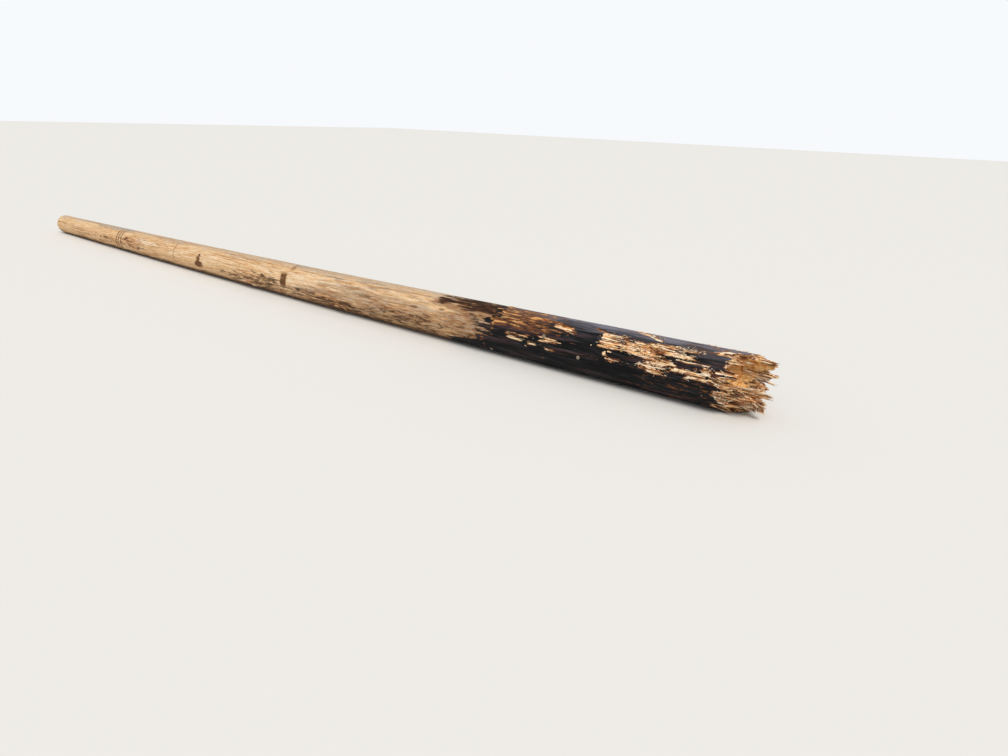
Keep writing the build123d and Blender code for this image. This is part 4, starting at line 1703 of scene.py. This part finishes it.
class SplinterTree(Graph):
    """Geometry nodes that stand tapered splinters on a surface, along the grain."""

    SIZES = ("Density", "Length", "Width", "Thickness", "Tilt", "Lift", "Bend")

    def __init__(self) -> None:
        """Writes the tree with its named inputs."""
        tree = bpy.data.node_groups.new("splinters", "GeometryNodeTree")
        super().__init__(tree)
        face = tree.interface
        face.new_socket("Geometry", in_out="INPUT", socket_type="NodeSocketGeometry")
        sizes = dict.fromkeys(self.SIZES, "Float")
        for name, kind in {**sizes, "Seed": "Int", "Material": "Material"}.items():
            face.new_socket(name, in_out="INPUT", socket_type=f"NodeSocket{kind}")
        face.new_socket("Geometry", in_out="OUTPUT", socket_type="NodeSocketGeometry")
        given = self.node("NodeGroupInput").outputs
        where = self.node("GeometryNodeInputNamedAttribute", {"Name": "splinter"}, data_type="FLOAT")
        density = self.math("MULTIPLY", given["Density"], where.outputs[0])
        spread = self.node("GeometryNodeDistributePointsOnFaces",
                           {"Mesh": given["Geometry"], "Density": density, "Seed": given["Seed"]})
        lean = self.scaled(self._random((-1.0, -1.0, -1.0), (1.0, 1.0, 1.0), given["Seed"], 3), given["Tilt"])
        lift = self.scaled(spread.outputs["Normal"], given["Lift"])
        along = self.vector("ADD", self.vector("ADD", lean, lift), (1.0, 0.0, 0.0))
        turn = self.node("FunctionNodeAlignRotationToVector", {"Vector": along}, axis="Z").outputs[0]
        size = self._random((0.35, 0.4, 0.3), (1.0, 1.0, 1.0), given["Seed"], 4)
        shape = self.node("ShaderNodeCombineXYZ", {"X": given["Width"], "Y": given["Thickness"],
                                                   "Z": given["Length"]}).outputs[0]
        stood = self.node("GeometryNodeInstanceOnPoints",
                          {"Points": spread.outputs["Points"], "Instance": self._blade(), "Rotation": turn,
                           "Scale": self.vector("MULTIPLY", size, shape)}).outputs[0]
        tone = self.node("FunctionNodeRandomValue", {2: -0.7, 3: 1.5, "Seed": given["Seed"]},
                         data_type="FLOAT").outputs[1]
        toned = self._store(stood, "tone", tone, data_type="FLOAT", domain="INSTANCE")
        real = self.node("GeometryNodeRealizeInstances", {"Geometry": toned}).outputs[0]
        place = self.node("GeometryNodeInputPosition").outputs[0]
        waves = self.node("ShaderNodeTexNoise", {"Vector": place, "Scale": 42.0, "Detail": 2.0})
        bend = self.vector("SUBTRACT", waves.outputs["Color"], (0.5, 0.5, 0.5))
        offset = self.scaled(bend, given["Bend"])
        bent = self.node("GeometryNodeSetPosition", {"Geometry": real, "Offset": offset}).outputs[0]
        grain = self._store(bent, "grain", place, data_type="FLOAT_VECTOR", domain="POINT")
        inputs = {"Geometry": grain, "Material": given["Material"]}
        dressed = self.node("GeometryNodeSetMaterial", inputs).outputs[0]
        self.node("NodeGroupOutput", {0: dressed})

    def _store(self, shape: object, name: str, value: object, **kind: str) -> NodeSocket:
        """The shape with a named attribute that holds the value."""
        inputs = {"Geometry": shape, "Name": name, "Value": value}
        return self.node("GeometryNodeStoreNamedAttribute", inputs, **kind).outputs[0]

    def _blade(self) -> NodeSocket:
        """One splinter of unit size, whose root lies a little below its point."""
        cone = self.node("GeometryNodeMeshCone", {"Vertices": 5, "Side Segments": 4, "Radius Top": 0.1,
                                                  "Radius Bottom": 0.5, "Depth": 1.0}).outputs["Mesh"]
        sunk = {"Geometry": cone, "Translation": (0.0, 0.0, -0.25)}
        return self.node("GeometryNodeTransform", sunk).outputs[0]

    def _random(self, low: tuple, high: tuple, seed: NodeSocket, own: int) -> NodeSocket:
        """A random vector for each splinter."""
        mixed = self.math("ADD", seed, float(own))
        return self.node("FunctionNodeRandomValue", {0: low, 1: high, "Seed": mixed},
                         data_type="FLOAT_VECTOR").outputs[0]

    def grow(self, host: Object, name: str, sizes: dict[str, float], seed: int,
             material: Material) -> Object:
        """Stands splinters on a host and returns them as a plain mesh.

        Args:
            host: The surface, with an attribute called splinter that says where they stand.
            name: The new object's name.
            sizes: The tree's sizes, by input name.
            seed: Picks the random draws.
            material: The splinters' material.

        Returns:
            The new object.
        """
        modifier = host.modifiers.new(name, "NODES")
        modifier.node_group = self.tree
        sockets = self.tree.interface.items_tree
        keys = {item.name: item.identifier for item in sockets if item.in_out == "INPUT"}
        for key, value in {**sizes, "Seed": seed, "Material": material}.items():
            modifier[keys[key]] = value
        graph = bpy.context.evaluated_depsgraph_get()
        mesh = bpy.data.meshes.new_from_object(host.evaluated_get(graph))
        mesh.name = name
        host.modifiers.remove(modifier)
        made = bpy.data.objects.new(name, mesh)
        bpy.context.scene.collection.objects.link(made)
        return made


@dataclass
class Splinters:
    """Loose fibres on the torn face and chips in the coat's torn places."""

    tree: SplinterTree
    material: Material

    def on_break(self, host: Object) -> None:
        """Chips and fibres on the torn face, but few of them in the smooth hollow."""
        self._grow(host, "torn_chips", (2000.0, 0.03, 0.014, 0.005, 0.8, 0.35, 0.02), 5)
        self._grow(host, "torn_fibres", (600.0, 0.042, 0.0024, 0.0016, 0.55, 0.15, 0.035), 6)

    def on_tears(self, host: Object, name: str) -> None:
        """Chips in the torn places of the coat."""
        mesh = host.data
        held = mesh.attributes.get("splinter") or mesh.attributes.new("splinter", "FLOAT", "POINT")
        held.data.foreach_set("value", self._read(mesh, "chips", 1).astype(np.float32))
        self._grow(host, name, (4200.0, 0.04, 0.013, 0.004, 0.3, 0.14, 0.015), 7)

    def _grow(self, host: Object, name: str, sizes: tuple, seed: int) -> None:
        """Grows one kind of splinter, with sizes in the tree's order, inside the pole's bounds."""
        made = self.tree.grow(host, name, dict(zip(SplinterTree.SIZES, sizes)), seed, self.material)
        mesh = made.data
        points = kept_in(self._read(mesh, "position", 3))
        mesh.vertices.foreach_set("co", points.reshape(-1))
        mesh.update()
        settle(made)

    def _read(self, mesh: Mesh, name: str, width: int) -> Array:
        """An attribute's values."""
        values = np.zeros(len(mesh.vertices) * width)
        mesh.attributes[name].data.foreach_get("vector" if width == 3 else "value", values)
        return values.reshape(-1, width) if width > 1 else values


@dataclass
class Strand:
    """A tapered strand of torn wood with an angular, ragged surface.

    It runs from its base along its way and is wide along its side. Its bend is how far its tip
    strays, in shares of its length.
    """

    base: Array
    way: Array
    side: Array
    length: float
    width: float
    thick: float
    rows: int = 10
    columns: int = 6
    bend: float = 0.06

    def add_to(self, draft: MeshDraft, rng: np.random.Generator) -> None:
        """Adds the strand to a mesh.

        Args:
            draft: The mesh.
            rng: Draws its unevenness.
        """
        way = self.way / np.linalg.norm(self.way)
        other = np.cross(way, self.side)
        other /= np.linalg.norm(other)
        side = np.cross(other, way)
        share = np.linspace(0, 1, self.rows)[:, None]
        turn = turns(self.columns) + rng.uniform(0, 6)
        taper = np.clip(1.02 - share ** rng.uniform(1.6, 4.0), 0.05, 1)
        rough = 1 + 0.22 * rng.uniform(-1, 1, (self.rows, self.columns))
        sway = self.bend * self.length * rng.uniform(-1, 1) * share ** 2
        rise = self.bend * self.length * rng.uniform(-1, 1) * share ** 2
        across = self.width / 2 * taper * rough * np.cos(turn) + sway
        through = self.thick / 2 * taper * rough * np.sin(turn) + rise
        slant = 0.5 * self.width * rng.uniform(-1, 1) * np.cos(turn) * share
        points = self.base + (share * self.length + slant)[..., None] * way
        points = points + across[..., None] * side + through[..., None] * other
        draft.add_tube(kept_in(points), {"tone": rng.uniform(-1, 1), "cavity": 0.0, "hue": -0.22})


@dataclass
class TornSliver(Piece):
    """One big sliver: a few strands side by side, where the solid stands that it replaces."""

    node: str
    strands: int = 5
    seed: int = 1

    def build(self, finishes: Finishes) -> Object:
        """Makes the sliver."""
        solid = frame["nodes"][self.node].data
        points = np.array([v.co for v in solid.vertices])
        low, high = points[:, 0].min(), points[:, 0].max()
        root = points[points[:, 0] < low + 0.25 * (high - low)]
        tip = points[points[:, 0] > high - 0.004].mean(axis=0)
        base = root.mean(axis=0)
        base[0] = low - 0.01
        way = tip - base
        length = float(np.linalg.norm(way))
        way /= length
        flat = root - root.mean(axis=0)
        flat -= np.outer(flat @ way, way)
        side = np.linalg.eigh(flat.T @ flat)[1][:, 2]
        other = np.cross(way, side)
        width = float(np.ptp(flat @ side))
        thick = max(float(np.ptp(flat @ other)), 0.25 * width)
        draft = MeshDraft(self.node.replace("sliver", "splinter"))
        rng = np.random.default_rng(self.seed)
        for i in range(self.strands):
            offset = (i + 0.5) / self.strands - 0.5
            own = length * (1 - 0.45 * abs(offset + rng.uniform(-0.25, 0.25)))
            strand = Strand(base + side * offset * width * 0.8, way, side, own, 1.5 * width / self.strands,
                            thick * rng.uniform(0.6, 1.0), rows=16, columns=8)
            strand.add_to(draft, rng)
        return settle(draft.build([finishes.torn]), [self.node])


@dataclass(frozen=True)
class FlakeZone:
    """A part of the break where flakes of wood stand out.

    It spans the angles from low to high, in degrees, and from inner to outer out of the axis. Stand
    is the share of a flake's length that stands out of the wood, and splay is how far it leans.
    """

    low: float
    high: float
    inner: float
    outer: float
    count: int
    length: tuple[float, float]
    width: tuple[float, float]
    stand: float = 0.4
    splay: float = 0.12


FLAKE_ZONES = [
    FlakeZone(-60, 50, 0.150, 0.174, 60, (0.05, 0.10), (0.018, 0.042), 0.26, 0.10),
    FlakeZone(200, 310, 0.150, 0.174, 40, (0.05, 0.09), (0.018, 0.036), 0.16, 0.10),
    FlakeZone(50, 120, 0.148, 0.174, 24, (0.04, 0.07), (0.014, 0.030), 0.25, 0.15),
    FlakeZone(120, 200, 0.130, 0.170, 44, (0.04, 0.08), (0.014, 0.034), 0.25, 0.25),
    FlakeZone(115, 235, 0.050, 0.130, 90, (0.04, 0.08), (0.014, 0.034), 0.32, 0.55),
]


@dataclass
class Flakes(Piece):
    """Flakes of torn wood that stand out of the break, each made of a few strands."""

    name: str = "torn_flakes"
    seed: int = 21
    zones: Sequence[FlakeZone] = field(default_factory=lambda: FLAKE_ZONES)

    def build(self, finishes: Finishes) -> Object:
        """Makes all the flakes."""
        rng = np.random.default_rng(self.seed)
        draft = MeshDraft(self.name)
        for zone in self.zones:
            for _ in range(zone.count):
                self._add_flake(draft, zone, rng)
        return settle(draft.build([finishes.torn]))

    def _add_flake(self, draft: MeshDraft, zone: FlakeZone, rng: np.random.Generator) -> None:
        """Adds one flake.

        Args:
            draft: The mesh so far.
            zone: Where it stands.
            rng: Draws its place and shape.
        """
        angle = radians(rng.uniform(zone.low, zone.high))
        reach = rng.uniform(zone.inner, zone.outer)
        length = rng.uniform(*zone.length)
        width = rng.uniform(*zone.width)
        end = float(BREAK.end(np.array(angle), np.array(reach)))
        base = FORM.at(end - (1 - zone.stand) * length, angle, reach)
        outward, around = directions(angle)
        lean = zone.splay * rng.uniform(-0.3, 1.0) * outward + zone.splay * rng.uniform(-1, 1) * around
        strands = int(rng.integers(2, 5))
        for i in range(strands):
            offset = ((i + 0.5) / strands - 0.5) * width
            strand = Strand(base + around * offset, ALONG + lean, around,
                            length * rng.uniform(0.7, 1.0), 1.35 * width / strands,
                            rng.uniform(0.003, 0.007), rows=7, columns=5)
            strand.add_to(draft, rng)


@dataclass(frozen=True)
class Curl(Spot):
    """A shaving of wood that curls out of the break or a torn place.

    Its reach is its root's distance out of the axis, its turn is how far it curls outwards, in
    degrees, and its drift is how far it strays round the trunk, in shares of its length.
    """

    reach: float
    length: float
    turn: float
    width: float
    drift: float


@dataclass
class Curls(Piece):
    """The shavings, most of them in the lower mass of the break."""

    name: str = "torn_curls"
    seed: int = 41
    rows: int = 16
    thickness: float = 0.0016

    def shavings(self) -> list[Curl]:
        """The named shavings and some that are drawn at random."""
        rng = np.random.default_rng(self.seed)
        found = [Curl(*sizes) for sizes in (
            (8.41, 44, 0.177, 0.10, 70, 0.006, -0.25), (8.43, 36, 0.177, 0.11, 60, 0.005, -0.3),
            (8.45, 30, 0.177, 0.09, 80, 0.005, 0.3), (8.42, 48, 0.177, 0.08, 120, 0.006, 0.2),
            (8.60, 62, 0.178, 0.06, 70, 0.006, -0.5), (8.62, 66, 0.178, 0.05, 60, 0.005, -0.6),
            (8.28, 70, 0.177, 0.07, 90, 0.007, 0.5), (8.30, 82, 0.177, 0.06, 110, 0.008, 0.6),
            (8.20, 48, 0.176, 0.07, 90, 0.008, -0.2), (8.25, 55, 0.176, 0.06, 100, 0.008, 0.3),
            (4.12, 118, 0.141, 0.20, 14, 0.006, 0.1), (5.50, 116, 0.153, 0.09, 30, 0.005, 0.4),
        )]
        for _ in range(36):
            angle = rng.uniform(100, 168)
            reach = rng.uniform(0.05, 0.16)
            end = float(BREAK.end(np.array(radians(angle)), np.array(reach)))
            found.append(Curl(end - 0.012, angle, reach, rng.uniform(0.03, 0.075), rng.uniform(-60, 120),
                              rng.uniform(0.003, 0.006), rng.uniform(-0.8, 0.8)))
        return found

    def build(self, finishes: Finishes) -> Object:
        """Makes all the shavings."""
        rng = np.random.default_rng(self.seed + 1)
        draft = MeshDraft(self.name)
        for curl in self.shavings():
            self._add(draft, curl, rng)
        return settle(draft.build([finishes.torn]))

    def _add(self, draft: MeshDraft, curl: Curl, rng: np.random.Generator) -> None:
        """Sweeps one shaving along its arc."""
        angle = radians(curl.angle)
        outward, around = directions(angle)
        share = np.linspace(0, 1, self.rows)
        turned = radians(curl.turn) * share ** 1.3
        step = curl.length / (self.rows - 1)
        forward = np.concatenate([[0], np.cumsum(np.cos(turned[:-1]) * step)])
        up = np.concatenate([[0], np.cumsum(np.sin(turned[:-1]) * step)])
        spine = FORM.at(curl.s, angle, curl.reach) + forward[:, None] * ALONG + up[:, None] * outward
        spine = spine + (curl.drift * curl.length * share ** 1.5)[:, None] * around
        normal = -np.sin(turned)[:, None] * ALONG + np.cos(turned)[:, None] * outward
        half = curl.width / 2 * (1 - 0.75 * share ** 3) * (1 + 0.15 * rng.uniform(-1, 1, self.rows))
        thick = self.thickness / 2 * (1 - 0.5 * share)
        rings = np.stack([spine + (a * half)[:, None] * around + (b * thick)[:, None] * normal
                          for a, b in ((-1, -1), (1, -1), (1, 1), (-1, 1))], axis=1)
        draft.add_tube(kept_in(rings), {"tone": rng.uniform(0, 1), "cavity": 0.0, "hue": 0.3})


@dataclass
class Plug(Piece):
    """A plug that closes an old inspection hole: a domed head on a stem, where its solid stands."""

    node: str
    s: float
    angle: float
    radius: float = 0.011

    def build(self, finishes: Finishes) -> Object:
        """Makes the plug."""
        surface = float(FORM.radius(np.array(self.s))) + FORM.coat_thickness
        outward, around = directions(radians(self.angle))
        origin = FORM.at(self.s)
        profile = [(0.0, -0.05), (1.0, -0.05), (1.0, -0.001), (1.0, 0.0), (1.12, 0.0004), (1.14, 0.0012),
                   (1.05, 0.002), (0.8, 0.0024), (0.5, 0.0018), (0.45, 0.0012), (0.0, 0.001)]
        turned = turns(32)
        rings = []
        for share, height in profile:
            wide = max(share, 0.02) * self.radius
            ring = origin + outward * (surface + height) + np.outer(wide * np.cos(turned), ALONG)
            rings.append(ring - np.outer(wide * np.sin(turned), around))
        draft = MeshDraft(self.node.replace("inspection_", "domed_"))
        draft.add_tube(np.array(rings), {})
        return settle(draft.build([finishes.plug]), [self.node])


@dataclass(frozen=True)
class Studio:
    """The pale floor, the soft light and the photograph's camera.

    The camera's heading runs from +Y towards -X, it looks down by its pitch, and its focal length is
    in pixels of a picture that is 1008 wide. The sky has one strength where the camera sees it and
    another as light on the pole.
    """

    place: tuple = (5.491, -3.9125, 1.5775)
    heading: float = 36.529
    pitch: float = 20.18
    roll: float = 2.229
    focal: float = 705.8
    floor_reach: float = 60
    sky_seen: float = 0.98
    sky_light: float = 0.58
    sun_energy: float = 2.5
    sun_spread: float = 30

    def build(self) -> None:
        """Makes the floor, the light and the camera."""
        self._floor()
        self._light()
        self._camera()

    def _floor(self) -> None:
        """A wide plain floor."""
        draft = MeshDraft("studio_floor")
        corners = [(-1, -1, 0), (1, -1, 0), (1, 1, 0), (-1, 1, 0)]
        draft.add_points(self.floor_reach * np.array(corners, float), {})
        draft.add_faces(np.array([[0, 1, 2, 3]]))
        paint = Paint("studio_floor")
        plain = paint.node("ShaderNodeNewGeometry").outputs["Normal"]
        floor = draft.build([paint.finish(colour(226, 224, 220), 0.9, plain, 0.1)])

    def _light(self) -> None:
        """An even sky and one soft lamp from the upper left."""
        world = bpy.data.worlds.new("studio_sky")
        world.use_nodes = True
        bpy.context.scene.world = world
        graph = Graph(world.node_tree)
        graph.tree.nodes.clear()
        ray = graph.node("ShaderNodeLightPath").outputs
        extra = self.sky_seen - self.sky_light
        strength = graph.math("MULTIPLY_ADD", ray["Is Camera Ray"], extra, self.sky_light)
        sky = graph.node("ShaderNodeBackground", {"Color": (0.95, 0.97, 1.0, 1.0), "Strength": strength})
        graph.node("ShaderNodeOutputWorld", {"Surface": sky.outputs[0]})
        lamp = bpy.data.lights.new("soft_sun", "SUN")
        lamp.energy = self.sun_energy
        lamp.angle = radians(self.sun_spread)
        lamp.color = (1.0, 0.97, 0.92)
        holder = bpy.data.objects.new("soft_sun", lamp)
        holder.rotation_euler = Vector((0.8, -0.5, 1.0)).to_track_quat("Z", "Y").to_euler()
        bpy.context.scene.collection.objects.link(holder)

    def _camera(self) -> None:
        """The camera that took the photograph."""
        data = bpy.data.cameras.new("camera")
        data.sensor_width = 36.0
        data.lens = self.focal / 1008 * data.sensor_width
        data.clip_end = 200
        camera = bpy.data.objects.new("camera", data)
        camera.location = self.place
        head = Matrix.Rotation(radians(self.heading), 4, "Z")
        down = Matrix.Rotation(radians(90 - self.pitch), 4, "X")
        tilt = Matrix.Rotation(radians(self.roll), 4, "Z")
        camera.rotation_euler = (head @ down @ tilt).to_euler()
        bpy.context.scene.collection.objects.link(camera)
        bpy.context.scene.camera = camera


def main() -> None:
    """Builds the studio and each piece of the pole."""
    logging.basicConfig(level=logging.INFO, format="%(name)s %(message)s")
    bpy.context.scene.view_settings.view_transform = "Standard"
    Studio().build()
    finishes = Finishes()
    Trunk("upper_trunk", 0.0, UPPER_SEAM, 0.022, seed=11, has_top=True).build(finishes)
    Trunk("middle_trunk", UPPER_SEAM, MIDDLE_SEAM, 0.02, seed=12).build(finishes)
    lower = Trunk("lower_trunk", MIDDLE_SEAM, BUTT_SEAM, 0.014, seed=13, small_cracks=12).build(finishes)
    end = BrokenEnd().build(finishes)
    ButtCoat("tarred_coat_upper", COAT_START, COAT_SEAM).build(finishes)
    ButtCoat("tarred_coat_lower", COAT_SEAM, COAT_END).build(finishes)
    splinters = Splinters(SplinterTree(), finishes.torn)
    splinters.on_break(end)
    splinters.on_tears(lower, "coat_chips_upper")
    splinters.on_tears(end, "coat_chips_lower")
    Flakes().build(finishes)
    Curls().build(finishes)
    slivers = sorted(name for name in frame["nodes"] if name.startswith("sliver_"))
    for seed, node in enumerate(slivers, 30):
        TornSliver(node, seed=seed).build(finishes)
    for node, s, angle in (("inspection_plug_low", 7.064, 137), ("inspection_plug_middle", 7.522, 66),
                           ("inspection_plug_high", 7.798, 95)):
        Plug(node, s, angle).build(finishes)


if __name__ == "__main__":
    main()
